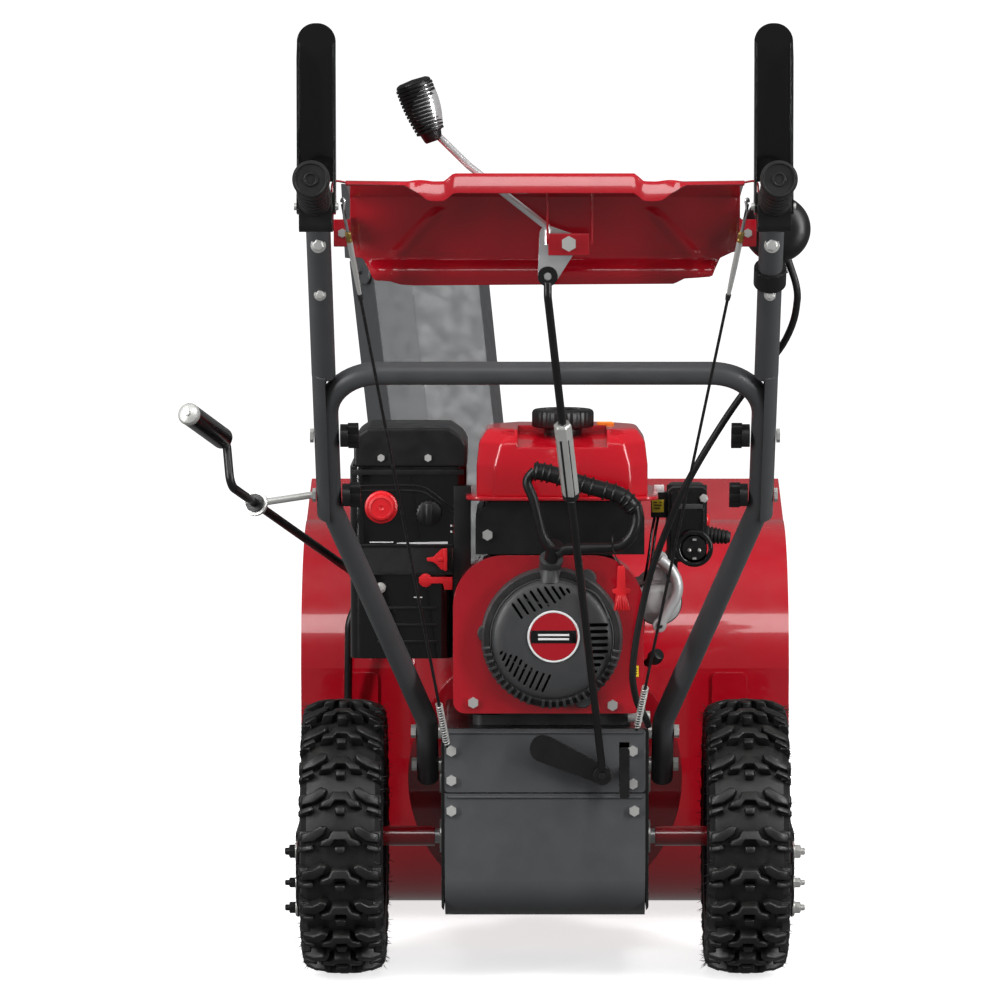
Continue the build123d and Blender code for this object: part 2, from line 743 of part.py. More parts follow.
with BuildPart() as fuel_cap:
    with BuildSketch(Plane.XY.offset(662.4)):
        with Locations((21, -75)):
            Circle(35)
            with PolarLocations(35, 18):
                Circle(2.4)
    extrude(amount=21)
    fillet(fuel_cap.faces().sort_by(Axis.Z)[-1].edges(), 1.4)
    with BuildSketch(Plane.XY.offset(662.4)):
        with Locations((21, -75)):
            Circle(31)
    extrude(amount=14, mode=Mode.SUBTRACT)
    with BuildSketch(Plane.XY.offset(652)):
        with Locations((21, -75)):
            Circle(21.7)
    extrude(amount=26)
save(fuel_cap.part, "fuel_cap")

with BuildPart() as carb_cover:
    # Narrow beside the shroud, wider above it, and open towards the engine.
    with BuildSketch(Plane.XY.offset(391)):
        with Locations((-169, -30)):
            RectangleRounded(120, 140, 16)
    extrude(amount=226)
    with BuildSketch(Plane.XY.offset(522)):
        with Locations((-160.5, -30)):
            RectangleRounded(137, 140, 16)
    extrude(amount=95)
    with BuildSketch(Plane.XY.offset(394)):
        with Locations((-169, -30)):
            RectangleRounded(114, 134, 13)
    extrude(amount=226, mode=Mode.SUBTRACT)
    with BuildSketch(Plane.XY.offset(525)):
        with Locations((-160.5, -30)):
            RectangleRounded(131, 134, 13)
    extrude(amount=95, mode=Mode.SUBTRACT)
    with BuildSketch(at_x(-130, -20, 500)):
        Rectangle(100, 170)
    extrude(amount=50, mode=Mode.SUBTRACT)
    # Holes for the primer, the choke's stem and the two levers.
    with BuildSketch(rear_face(CARB_REAR + 10)):
        with Locations((-192, 570)):
            Circle(19.4)
        with Locations((-136, 563)):
            Circle(4 + RUN)
        with Locations((-164, 509)):
            RectangleRounded(94, 10, 4)
        with Locations((-140, 484)):
            Circle(4 + RUN)
    extrude(amount=20, mode=Mode.SUBTRACT)
save(carb_cover.part, "carb_cover")

with BuildPart() as carb_cover_lid:
    with BuildSketch(Plane.XY.offset(617.4)):
        with Locations((-158, -32)):
            RectangleRounded(132, 140, 20)
    extrude(amount=46)
    fillet(carb_cover_lid.faces().sort_by(Axis.Z)[-1].edges(), 9)
    with BuildSketch(Plane.XY.offset(617)):
        with Locations((-158, -32)):
            RectangleRounded(126, 134, 17)
    extrude(amount=43, mode=Mode.SUBTRACT)
save(carb_cover_lid.part, "carb_cover_lid")

with BuildPart() as muffler:
    with BuildSketch(Plane.XY.offset(400)):
        with Locations((-143, 90)):
            RectangleRounded(96, 78, 24)
    extrude(amount=120)
    fillet(muffler.faces().filter_by(GeomType.PLANE).group_by(Axis.Z)[-1].edges(), 8)
    with BuildSketch(Plane.XY.offset(403)):
        with Locations((-143, 90)):
            RectangleRounded(90, 72, 21)
    extrude(amount=108, mode=Mode.SUBTRACT)
    with BuildSketch(at_y(120, -150, 440)):
        Circle(13)
        Circle(10, mode=Mode.SUBTRACT)
    extrude(amount=16)
save(muffler.part, "muffler")

with BuildPart() as electric_starter:
    # The motor lies along the block, above the right foot.
    with BuildSketch(at_y(-72, 134, 455)):
        Circle(28)
    extrude(amount=118)
    with BuildSketch(at_y(-66, 107, 455)):
        Rectangle(20, 40)
    extrude(amount=90)
    # Its switch box, with the round mains inlet sunk into the rear face.
    with BuildSketch(rear_face(10)):
        with Locations((168, 546)):
            RectangleRounded(46, 88, 8)
    extrude(amount=78)
    with BuildSketch(rear_face(-68)):
        with Locations((176, 519)):
            Circle(21)
    extrude(amount=6)
    with BuildSketch(rear_face(-60)):
        with Locations((176, 519)):
            Circle(17)
            for x, z in ((-6, 3), (6, 3), (0, -7)):
                with Locations((x, z)):
                    Circle(2.2, mode=Mode.SUBTRACT)
    extrude(amount=20, mode=Mode.SUBTRACT)
    with BuildSketch(at_x(176, -30, 548)):
        Circle(9)
    extrude(amount=20, mode=Mode.SUBTRACT)
    # Bracket between the box and the motor.
    with BuildSketch(at_y(-50, 150, 490)):
        Rectangle(14, 40)
    extrude(amount=40)
save(electric_starter.part, "electric_starter")

with BuildPart() as start_button:
    with BuildSketch(at_x(181, -30, 548)):
        Circle(8.9)
    extrude(amount=15)
save(start_button.part, "start_button")

with BuildPart() as primer_bulb:
    with BuildSketch(rear_face(CARB_REAR - 0.2)):
        with Locations((-192, 570)):
            Circle(19)
    extrude(amount=13)
    fillet(primer_bulb.faces().sort_by(Axis.Y)[0].edges(), 10)
    with BuildSketch(rear_face(CARB_REAR - 0.2)):
        with Locations((-192, 570)):
            Circle(13.6)
    extrude(amount=-9)
save(primer_bulb.part, "primer_bulb")

with BuildPart() as choke_knob:
    with BuildSketch(rear_face(CARB_REAR - 0.3)):
        with Locations((-136, 563)):
            Circle(15)
    extrude(amount=7)
    with BuildSketch(rear_face(CARB_REAR - 7.3)):
        with Locations((-136, 563)):
            RectangleRounded(9, 28, 3)
    extrude(amount=10)
    with BuildSketch(rear_face(CARB_REAR - 0.3)):
        with Locations((-136, 563)):
            Circle(4)
    extrude(amount=-14)
save(choke_knob.part, "choke_knob")

with BuildPart() as throttle_lever:
    # A flat arm that slides in its slot, with a paddle outside.
    with BuildSketch(Plane.XY.offset(507)):
        with Locations((-122, CARB_REAR + 2)):
            Rectangle(7, 40)
    extrude(amount=4)
    with BuildSketch(rear_face(CARB_REAR - 3)):
        with Locations((-122, 509)):
            RectangleRounded(16, 25, 4)
    extrude(amount=15)
save(throttle_lever.part, "throttle_lever")

with BuildPart() as fuel_valve:
    with BuildSketch(rear_face(CARB_REAR - 0.3)):
        with Locations((-140, 484)):
            Circle(8)
    extrude(amount=8)
    with BuildSketch(rear_face(CARB_REAR - 2)):
        with Locations((-128, 484)):
            RectangleRounded(34, 8, 3)
    extrude(amount=6)
    with BuildSketch(rear_face(CARB_REAR - 0.3)):
        with Locations((-140, 484)):
            Circle(4)
    extrude(amount=-14)
save(fuel_valve.part, "fuel_valve")

# ------------------------------------------------------------------ chute and its crank
with BuildPart() as chute_base:
    with BuildSketch(Plane.XY.offset(CHUTE_Z - 6)):
        with Locations((CHUTE_X, CHUTE_Y)):
            Circle(80)
            Circle(60, mode=Mode.SUBTRACT)
    extrude(amount=5.6)
    # An upright ear carries the crank's front end.
    ear = CRANK_WORM + ROD_AXIS * 8.6
    with BuildSketch(Plane(origin=ear, x_dir=(ROD_AXIS.Y, -ROD_AXIS.X, 0), z_dir=ROD_AXIS)):
        Circle(10)
        with Locations((9, 3)):
            Rectangle(18, 8)
        Circle(5 + RUN, mode=Mode.SUBTRACT)
    extrude(amount=4)
save(chute_base.part, "chute_base")

CHUTE_LEAN = 0.28
CHUTE_TOP = 838
FOOT = Plane(origin=(CHUTE_X, CHUTE_Y, CHUTE_Z)).rotated((0, 0, CHUTE_TURN))


def chute_level(z, shift=0):
    """The chute's own plane at height z, moved along its lean."""
    rise = z - CHUTE_Z
    return Plane(origin=FOOT.from_local_coords((0, rise * CHUTE_LEAN + shift, rise)), x_dir=FOOT.x_dir)


def fold(half, depth, front):
    """A channel outline with folded corners, open towards +y."""
    with BuildSketch() as outline:
        with BuildLine():
            Polyline(
                (-half, front), (-half, -0.35 * depth), (-0.58 * half, -depth), (0.58 * half, -depth),
                (half, -0.35 * depth), (half, front), (half - SHEET, front), (half - SHEET, 1 - 0.35 * depth),
                (0.58 * half - 1, SHEET - depth), (1 - 0.58 * half, SHEET - depth),
                (SHEET - half, 1 - 0.35 * depth), (SHEET - half, front), (-half, front),
            )
        make_face()
    return outline.sketch


TILT_PIN = chute_level(842)
with BuildPart() as chute:
    # Ring gear and collar at the foot.
    with BuildSketch(FOOT):
        Circle(71)
        with PolarLocations(71.5, 36):
            Rectangle(5, 5)
        Circle(58, mode=Mode.SUBTRACT)
    extrude(amount=9)
    with BuildSketch(FOOT.offset(9)):
        Circle(71)
        Circle(58, mode=Mode.SUBTRACT)
    extrude(amount=8)
    with BuildSketch(FOOT.offset(15)):
        Rectangle(146, 122)
        Circle(84, mode=Mode.INTERSECT)
        Circle(58, mode=Mode.SUBTRACT)
    extrude(amount=3)
    with BuildSketch(chute_level(CHUTE_Z + 16)):
        add(fold(73.5, 62, 58))
    with BuildSketch(chute_level(CHUTE_TOP)):
        add(fold(78.5, 64, 48))
    loft(ruled=True)
    # Studs for the deflector's ears.
    for side in (-1, 1):
        stud = TILT_PIN.from_local_coords((side * 76.8, 0, -14))
        with BuildSketch(Plane(origin=stud, x_dir=TILT_PIN.y_dir, z_dir=TILT_PIN.x_dir)):
            Circle(4)
        extrude(amount=side * 11)
save(chute.part, "chute")

with BuildPart() as deflector:
    with BuildSketch(chute_level(842, -1)):
        add(fold(83, 67, 52))
    with BuildSketch(chute_level(934, 4)):
        add(fold(80, 62, 40))
    loft(ruled=True)
    # Ears that overlap the chute's sides, each with a pivot hole.
    for side in (-1, 1):
        ear = TILT_PIN.from_local_coords((side * 80.4, 0, 0))
        with BuildSketch(Plane(origin=ear, x_dir=TILT_PIN.y_dir, z_dir=TILT_PIN.x_dir)):
            with Locations((-2, -6)):
                RectangleRounded(44, 48, 10)
            with Locations((0, -14)):
                Circle(4 + RUN, mode=Mode.SUBTRACT)
        extrude(amount=side * 2.6)
save(deflector.part, "deflector")

crank_bend = CRANK_EYE - ROD_AXIS * 88
crank_up = Vector(-0.1, 0.32, 0.94).normalized()
grip_foot = crank_bend + crank_up * 52
with BuildPart() as chute_crank:
    add(
        rod(
            [
                CRANK_WORM + ROD_AXIS * 12,
                crank_bend,
                grip_foot,
                grip_foot - ROD_AXIS * 132,
            ],
            5,
            [14, 10],
        )
    )
    # The worm that turns the ring gear.
    with BuildSketch(along(CRANK_WORM - ROD_AXIS * 34, CRANK_WORM)):
        Circle(9)
    extrude(amount=42)
save(chute_crank.part, "chute_crank")

with BuildPart() as crank_grip:
    with BuildSketch(along(grip_foot - ROD_AXIS * 12, grip_foot - ROD_AXIS * 40)):
        Circle(12.3)
        Circle(5 + RUN, mode=Mode.SUBTRACT)
    extrude(amount=116)
    fillet(crank_grip.edges().filter_by(GeomType.CIRCLE).group_by(SortBy.RADIUS)[-1], 3)
save(crank_grip.part, "crank_grip")

# ------------------------------------------------------------------ handles and controls
with BuildPart() as lower_handle:
    corner_z = 746
    bend_z = 587
    left = [
        (-LEG_X, handle_y(PIVOT_Z) + HANDLE_LEAN * 76, 236),
        (-LEG_X, PIVOT_Y, PIVOT_Z),
        (-HANDLE_X, handle_y(bend_z), bend_z),
        (-HANDLE_X, handle_y(corner_z), corner_z),
    ]
    right = [(-x, y, z) for x, y, z in reversed(left)]
    add(rod(left + right, HANDLE_TUBE, [60, 80, 60, 60, 80, 60]))
save(lower_handle.part, "lower_handle")

UPPER_FOOT = (UPPER_X, handle_y(745), 745)
SHELL_FOOT = (HANDLE_X, handle_y(577), 577)
SHELL_TOP = (HANDLE_X, handle_y(746), 746)
TUBE_END = Vector(*GRIP_END) + (Vector(*GRIP_TOP) - Vector(*GRIP_END)).normalized() * 4
with BuildPart() as upper_handles:
    add(rod([UPPER_FOOT, GRIP_TOP, TUBE_END], UPPER_TUBE, [38]))
    # Below the tube it opens into a half shell that hugs the lower handle from outside.
    with BuildSketch(along(SHELL_FOOT, SHELL_TOP)):
        Circle(15.3)
        Circle(13.3, mode=Mode.SUBTRACT)
        with Locations((-20, 0)):
            Rectangle(40, 40, mode=Mode.SUBTRACT)
    extrude(amount=(Vector(*SHELL_TOP) - Vector(*SHELL_FOOT)).length + 4)
    # Hole for the clutch lever's pin.
    with BuildSketch(at_x(UPPER_X - 30, LEVER_Y, LEVER_Z)):
        Circle(4.1)
    extrude(amount=60, mode=Mode.SUBTRACT)
    mirror(about=Plane.YZ)
save(upper_handles.part, "upper_handles")

GRIP_START = Vector(*GRIP_END) + (Vector(*GRIP_TOP) - Vector(*GRIP_END)).normalized() * 100
with BuildPart() as handle_grips:
    with BuildSketch(along(GRIP_START, GRIP_END)):
        Circle(17)
        Circle(UPPER_TUBE + RUN, mode=Mode.SUBTRACT)
    extrude(amount=100)
    with BuildSketch(along(GRIP_END, Vector(*GRIP_END) * 2 - GRIP_START)):
        Circle(20)
    extrude(amount=5)
    for spot in range(6):
        with BuildSketch(along(GRIP_START, GRIP_END).offset(8 + 15 * spot)):
            Circle(18)
            Circle(16, mode=Mode.SUBTRACT)
        extrude(amount=5)
    mirror(about=Plane.YZ)
save(handle_grips.part, "handle_grips")

with BuildPart() as handle_brackets:
    # A saddle under each tube takes the lever's pin.
    with BuildSketch(at_x(UPPER_X - 18, LEVER_Y, LEVER_Z)):
        with Locations((0, -6)):
            RectangleRounded(44, 42, 8)
        Circle(4.1, mode=Mode.SUBTRACT)
    extrude(amount=36)
    with BuildSketch(along((UPPER_X, -524, 928), GRIP_END).offset(-30)):
        Circle(UPPER_TUBE + 0.4)
    extrude(amount=120, mode=Mode.SUBTRACT)
    mirror(about=Plane.YZ)
    # The headlight's clamp and arm on the right tube.
    clamp = along(UPPER_FOOT, GRIP_TOP).offset(132)
    with BuildSketch(clamp):
        Circle(18)
        Circle(UPPER_TUBE + RUN, mode=Mode.SUBTRACT)
    extrude(amount=22)
    with BuildSketch(at_x(LIGHT.X - 5, -433, LIGHT.Z - 46)):
        Rectangle(42, 12)
        with Locations((13, 0)):
            Circle(3 + RUN, mode=Mode.SUBTRACT)
    extrude(amount=10)
save(handle_brackets.part, "handle_brackets")

with BuildPart() as auger_lever:
    # A channel, open towards the operator so that it lies over the grip when it is pulled down.
    with BuildSketch(at_y(LEVER_Y + 18.5, -UPPER_X, LEVER_Z)):
        with Locations((0, 101.5)):
            RectangleRounded(42, 191, 20)
        with Locations((0, 6)):
            Rectangle(50, 40, mode=Mode.SUBTRACT)
    extrude(amount=2.5)
    with BuildSketch(at_x(-UPPER_X - 21, LEVER_Y, LEVER_Z)):
        with BuildLine():
            Polyline(
                (21, 178), (21, 12), (24, 4), (22, -5), (8, -9),
                (-9, -7), (-10, 8), (0, 50), (5, 160), (21, 178),
            )
        make_face()
        Circle(4.1, mode=Mode.SUBTRACT)
        with Locations(WIRE_HOLE):
            Circle(2.5, mode=Mode.SUBTRACT)
    extrude(amount=42)
    with BuildSketch(Plane(origin=(-UPPER_X, LEVER_Y, LEVER_Z - 30))):
        with Locations((0, -5.75)):
            Rectangle(37, 48.5)
    extrude(amount=230, mode=Mode.SUBTRACT)
    with BuildSketch(Plane(origin=(-UPPER_X, LEVER_Y, LEVER_Z - 30))):
        Rectangle(37, 70)
    extrude(amount=56, mode=Mode.SUBTRACT)
save(auger_lever.part, "auger_lever")

with BuildPart() as drive_lever:
    mirror(auger_lever.part, about=Plane.YZ)
save(drive_lever.part, "drive_lever")

WIRE_TOP = Vector(-219.5, LEVER_Y + WIRE_HOLE[0], LEVER_Z + WIRE_HOLE[1])
WIRE_FOOT = Vector(-123, -133.5, 290)


def wire(top, foot):
    """A straight control wire with its ferrule, sleeve and lower spring."""
    down = (foot - top).normalized()
    length = (foot - top).length
    with BuildPart() as line:
        ferrule = (40, 56, 3.1)
        sleeve = (56, 130, 2.8)
        spring = (length - 70, length - 4, 4.5)
        for first, last, radius in ((0, length, 1.8), ferrule, sleeve, spring):
            with BuildSketch(along(top + down * first, foot + down * 10)):
                Circle(radius)
            extrude(amount=last - first)
    return line.part


auger_wire = wire(WIRE_TOP, WIRE_FOOT)
save(auger_wire, "auger_wire")

DRIVE_WIRE_TOP = Vector(219.5, WIRE_TOP.Y, WIRE_TOP.Z)
DRIVE_WIRE_FOOT = Vector(106, -150, 312)
drive_wire = wire(DRIVE_WIRE_TOP, DRIVE_WIRE_FOOT)
save(drive_wire, "drive_wire")

with BuildPart() as clutch_arm:
    # A lever on a short pivot inside the frame; its end comes out through the cover's slot.
    with BuildSketch(at_x(90, -100, 256)):
        Circle(9)
        with BuildLine():
            Polyline((-8, -5), (-44, 2), (-52, 28), (-46, 30), (-38, 10), (4, 8), (-8, -5))
        make_face()
        Circle(4.1, mode=Mode.SUBTRACT)
    extrude(amount=5)
    with BuildSketch(at_y(-152, 93, 262)):
        RectangleRounded(12, 60, 4)
    extrude(amount=4)
save(clutch_arm.part, "clutch_arm")

with BuildPart() as dash_panel:
    # A sheet top that falls towards the front, and a front apron that hangs from it.
    with BuildSketch(at_x(-210)):
        with BuildLine():
            Polyline(
                (-530, 962), (-530, 966), (-402, 948), (-397, 942), (-397, 850), (-403, 846),
                (-403, 849), (-399.5, 851), (-399.5, 941), (-403, 945.5), (-528, 962.8), (-530, 962),
            )
        make_face()
    extrude(amount=420)
    # The raised middle.
    with BuildSketch(at_x(-106)):
        with BuildLine():
            Polyline(
                (-530, 962), (-528, 972), (-410, 956), (-397, 946), (-400, 941), (-402, 944), (-530, 962)
            )
        make_face()
    extrude(amount=206)
    with BuildSketch(at_x(-103.5)):
        with BuildLine():
            Polyline((-527, 958), (-526, 969.2), (-411, 953.2), (-403, 948), (-403, 940), (-527, 958))
        make_face()
    extrude(amount=201, mode=Mode.SUBTRACT)
    # Cut lower corners of the apron.
    with BuildSketch(rear_face(-390)):
        for side in (-1, 1):
            with BuildLine():
                Polyline(
                    (side * 215, 840), (side * 165, 840), (side * 215, 900), (side * 215, 840)
                )
            make_face()
    extrude(amount=20, mode=Mode.SUBTRACT)
    # Slot for the shift lever.
    with BuildSketch(Plane.XY.offset(930)):
        with Locations((-38, -480)):
            SlotOverall(166, 16)
    extrude(amount=60, mode=Mode.SUBTRACT)
    # The bracket that carries the shift lever's bolt.
    for y in (-494, -468.5):
        with BuildSketch(rear_face(y)):
            with Locations((40, 922)):
                Rectangle(28, 74)
            with Locations((29, 897)):
                Rectangle(30, 22)
            with Locations((SHIFT_PIVOT.X, SHIFT_PIVOT.Z)):
                Circle(4.1, mode=Mode.SUBTRACT)
        extrude(amount=-SHEET)
    # Tabs out to the two handle tubes.
    for side in (-1, 1):
        with BuildSketch(rear_face(-482)):
            with Locations((side * 216, 906)):
                Rectangle(32, 30)
            with Locations((side * 204, 930)):
                Rectangle(8, 52)
        extrude(amount=-SHEET)
save(dash_panel.part, "dash_panel")

with BuildPart() as shift_lever:
    # The flat plate between bolt and eye.
    with BuildSketch(rear_face(-478)):
        with Locations((SHIFT_PIVOT.X, SHIFT_PIVOT.Z), (SHIFT_EYE.X, SHIFT_EYE.Z)):
            Circle(11)
        with Locations((3, 905)):
            Circle(9)
        make_hull()
        with Locations((SHIFT_PIVOT.X, SHIFT_PIVOT.Z)):
            Circle(4.1, mode=Mode.SUBTRACT)
    extrude(amount=4)
    bends = [(3, -480, 893), (3, -480, 912), (-84, -480, 980), (-135, -480, 1030), (-139, -480, 1060)]
    add(rod(bends, 4, [8, 20, 14]))
    # Ribbed knob.
    knob = along((-124, -480, 1018), (-144, -480, 1074), (0, 1, 0))
    with BuildSketch(knob):
        Circle(13)
    with BuildSketch(knob.offset(34)):
        Circle(19.5)
    with BuildSketch(knob.offset(56)):
        Circle(17)
    loft()
save(shift_lever.part, "shift_lever")

ROD_TOP = Vector(SHIFT_EYE.X, -492, SHIFT_EYE.Z)
ROD_FOOT = Vector(ARM_END.X, -151, ARM_END.Z)
ROD_KNEE = ROD_TOP - Vector(0, 0, 22)
ROD_HEEL = ROD_FOOT + Vector(-1.5, -6, 21)
ROD_LINE = ROD_HEEL - ROD_KNEE
with BuildPart() as shift_rod:
    add(rod([ROD_TOP - Vector(0, 0, 7), ROD_KNEE, ROD_HEEL, ROD_FOOT + Vector(0, 0, 7)], 4.5, [12, 12]))
    # The turnbuckle, and the eyes at both ends.
    with BuildSketch(along(ROD_KNEE + ROD_LINE * 0.29, ROD_HEEL)):
        RegularPolygon(9.5, 6)
    extrude(amount=ROD_LINE.length * 0.13)
    for place in (ROD_TOP, ROD_FOOT):
        with BuildSketch(rear_face(place.Y + 2)):
            with Locations((place.X, place.Z)):
                Circle(11)
                Circle(4.1, mode=Mode.SUBTRACT)
        extrude(amount=4)
save(shift_rod.part, "shift_rod")

with BuildPart() as shift_arm:
    with BuildSketch(rear_face(-139)):
        with Locations((ARM_PIVOT.X, ARM_PIVOT.Z)):
            Circle(16)
        with Locations((ARM_END.X, ARM_END.Z)):
            Circle(11)
        make_hull()
    extrude(amount=6)
    with BuildSketch(rear_face(-112)):
        with Locations((ARM_PIVOT.X, ARM_PIVOT.Z)):
            Circle(7)
    extrude(amount=30)
    # The pin that carries the rod's lower eye.
    with BuildSketch(rear_face(-144)):
        with Locations((ARM_END.X, ARM_END.Z)):
            Circle(4)
    extrude(amount=14)
save(shift_arm.part, "shift_arm")

# ------------------------------------------------------------------ headlight and small things
with BuildPart() as headlight:
    with BuildSketch(at_y(LIGHT.Y + 26, LIGHT.X, LIGHT.Z)):
        Circle(37)
    extrude(amount=-46)
    fillet(headlight.faces().sort_by(Axis.Y)[0].edges(), 20)
    # The forked foot straddles the bracket's arm.
    with BuildSketch(at_x(LIGHT.X - 9, LIGHT.Y, LIGHT.Z - 46)):
        with Locations((0, 6)):
            RectangleRounded(16, 30, 4)
        Circle(3.1, mode=Mode.SUBTRACT)
    extrude(amount=18)
    with BuildSketch(at_x(LIGHT.X - 5.3, LIGHT.Y, LIGHT.Z - 46)):
        with Locations((-10, -3)):
            Rectangle(44, 24)
    extrude(amount=10.6, mode=Mode.SUBTRACT)
save(headlight.part, "headlight")

cable_points = [
    (268, -449, 875), (279, -456, 842), (277, -420, 808),
    (266, -388, 778), (246, -358, 750), (224, -340, 722), (204, -330, 692), (180, -318, 652),
    (156, -296, 606), (138, -256, 556), (122, -222, 508), (112, -202, 462), (104, -188, 416),
    (101, -176, 376), (107, -160, 346), (118, -146, 326), (121, -130, 316),
]


def eased(points):
    """The largest arc that the two runs at each corner leave room for."""
    radii = []
    for before, here, after in zip(points, points[1:], points[2:]):
        run_in = Vector(*here) - Vector(*before)
        run_out = Vector(*after) - Vector(*here)
        half = math.radians(run_in.get_angle(run_out)) / 2
        radii.append(0.45 * min(run_in.length, run_out.length) / math.tan(half))
    return radii


cable_radii = eased(cable_points)
print("light cable bend radii:", [round(r) for r in cable_radii])
light_cable = rod(cable_points, 4, cable_radii)
print("light cable length:", round(light_cable.volume / (math.pi * 16)))
save(light_cable, "light_cable")

with BuildPart() as clean_out_tool:
    add(rod([(-228, 272, 432), (-244, 262, 392), (-246, 280, 300), (-246, 290, 210)], 5, [30, 60]))
    with BuildSketch(rear_face(299)):
        with Locations((-246, 190)):
            RectangleRounded(64, 72, 8)
    extrude(amount=3)
save(clean_out_tool.part, "clean_out_tool")

with BuildPart() as clamp_knobs:
    # Wing knobs inside the handle, two on each side, where the upper tube is clamped to the lower one.
    for z in (600, 672):
        y = handle_y(z)
        with BuildSketch(at_x(230.8, y, z)):
            Circle(13)
        extrude(amount=-9)
        with BuildSketch(at_x(222, y, z)):
            RectangleRounded(10, 34, 4, rotation=37)
        extrude(amount=-12)
        with BuildSketch(at_x(210, y, z)):
            Circle(8)
        extrude(amount=13)
    mirror(about=Plane.YZ)
    # Plastic bush inside the crank's eye bolt.
    with BuildSketch(Plane(origin=CRANK_EYE - ROD_AXIS * 5, z_dir=ROD_AXIS)):
        Circle(10.5)
        Circle(5 + RUN, mode=Mode.SUBTRACT)
    extrude(amount=10)
save(clamp_knobs.part, "clamp_knobs")


def bolt(place, towards, head=6.5, height=5, shank=None, length=0):
    """A hexagon head on a surface, with an optional shank behind it."""
    plane = Plane(origin=place, z_dir=towards)
    with BuildPart() as screw:
        with BuildSketch(plane):
            RegularPolygon(head, 6)
        extrude(amount=height)
        if shank:
            with BuildSketch(plane):
                Circle(shank)
            extrude(amount=-length)
    return screw.part


with BuildPart() as fasteners:
    # Rear cover bolts.
    for x, z in ((-110, 285), (-110, 250), (103, 285), (103, 246), (-110, 214), (105, 214)):
        add(bolt((x, COVER_Y, z), (0, -1, 0)))
    # Recoil and shroud bolts.
    for x, z in ((-84, 344), (79, 341), (-67, 541)):
        y = -139.5 if z > 500 else -140
        add(bolt((x, y, z), (0, -1, 0)))
    # Carburettor cover lid bolts.
    for x in (-192, -137):
        add(bolt((x, CARB_REAR - 2, 628), (0, -1, 0), 4.5, 4))
    # Skid shoe bolts.
    for side in (-1, 1):
        for y in (515, 605):
            add(bolt((side * (HOUSING_HALF + 3.5), y, 37), (side, 0, 0), 8, 6))
    # Handle feet and handle clamps, outside heads.
    for side in (-1, 1):
        for z in (254, 298):
            add(bolt((side * (LEG_X + 13.2), handle_y(z), z), (side, 0, 0), 8, 6))
            add(pin((side * FRAME_HALF, handle_y(z), z), (side * (LEG_X - 13.2), handle_y(z), z), 9))
        for z in (600, 672):
            add(bolt((side * 260.9, handle_y(z), z), (side, 0, 0), 8, 4))
        # Lever pin through tube, saddle and lever.
        add(pin((side * (UPPER_X - 24), LEVER_Y, LEVER_Z), (side * (UPPER_X + 24), LEVER_Y, LEVER_Z), 4))
        # Dash tab bolts.
        add(bolt((side * 222, -482, 906), (0, -1, 0), 5, 4))
    # Shift lever bolt.
    add(pin((SHIFT_PIVOT.X, -500, SHIFT_PIVOT.Z), (SHIFT_PIVOT.X, -464, SHIFT_PIVOT.Z), 4))
    add(bolt((SHIFT_PIVOT.X, -496.6, SHIFT_PIVOT.Z), (0, -1, 0), 8.5, 6))
    # Clutch arm pivot, from the right side plate.
    add(pin((86, -100, 256), (FRAME_HALF - 3, -100, 256), 4))
    # Headlight pivot.
    add(pin((LIGHT.X - 12, LIGHT.Y, LIGHT.Z - 46), (LIGHT.X + 12, LIGHT.Y, LIGHT.Z - 46), 3))
    # Eye bolt that guides the chute crank: a ring round a plastic bush, with a stem to the handle.
    with BuildSketch(Plane(origin=CRANK_EYE - ROD_AXIS * 2, z_dir=ROD_AXIS)):
        Circle(14.5)
        Circle(10.6, mode=Mode.SUBTRACT)
    extrude(amount=4)
    ring_side = Vector(-262, handle_y(600), 600) - CRANK_EYE
    add(pin(CRANK_EYE + ring_side.normalized() * 12, (-264.9, handle_y(600), 600), 4))
save(fasteners.part, "fasteners")
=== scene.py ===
import json
import math
import random

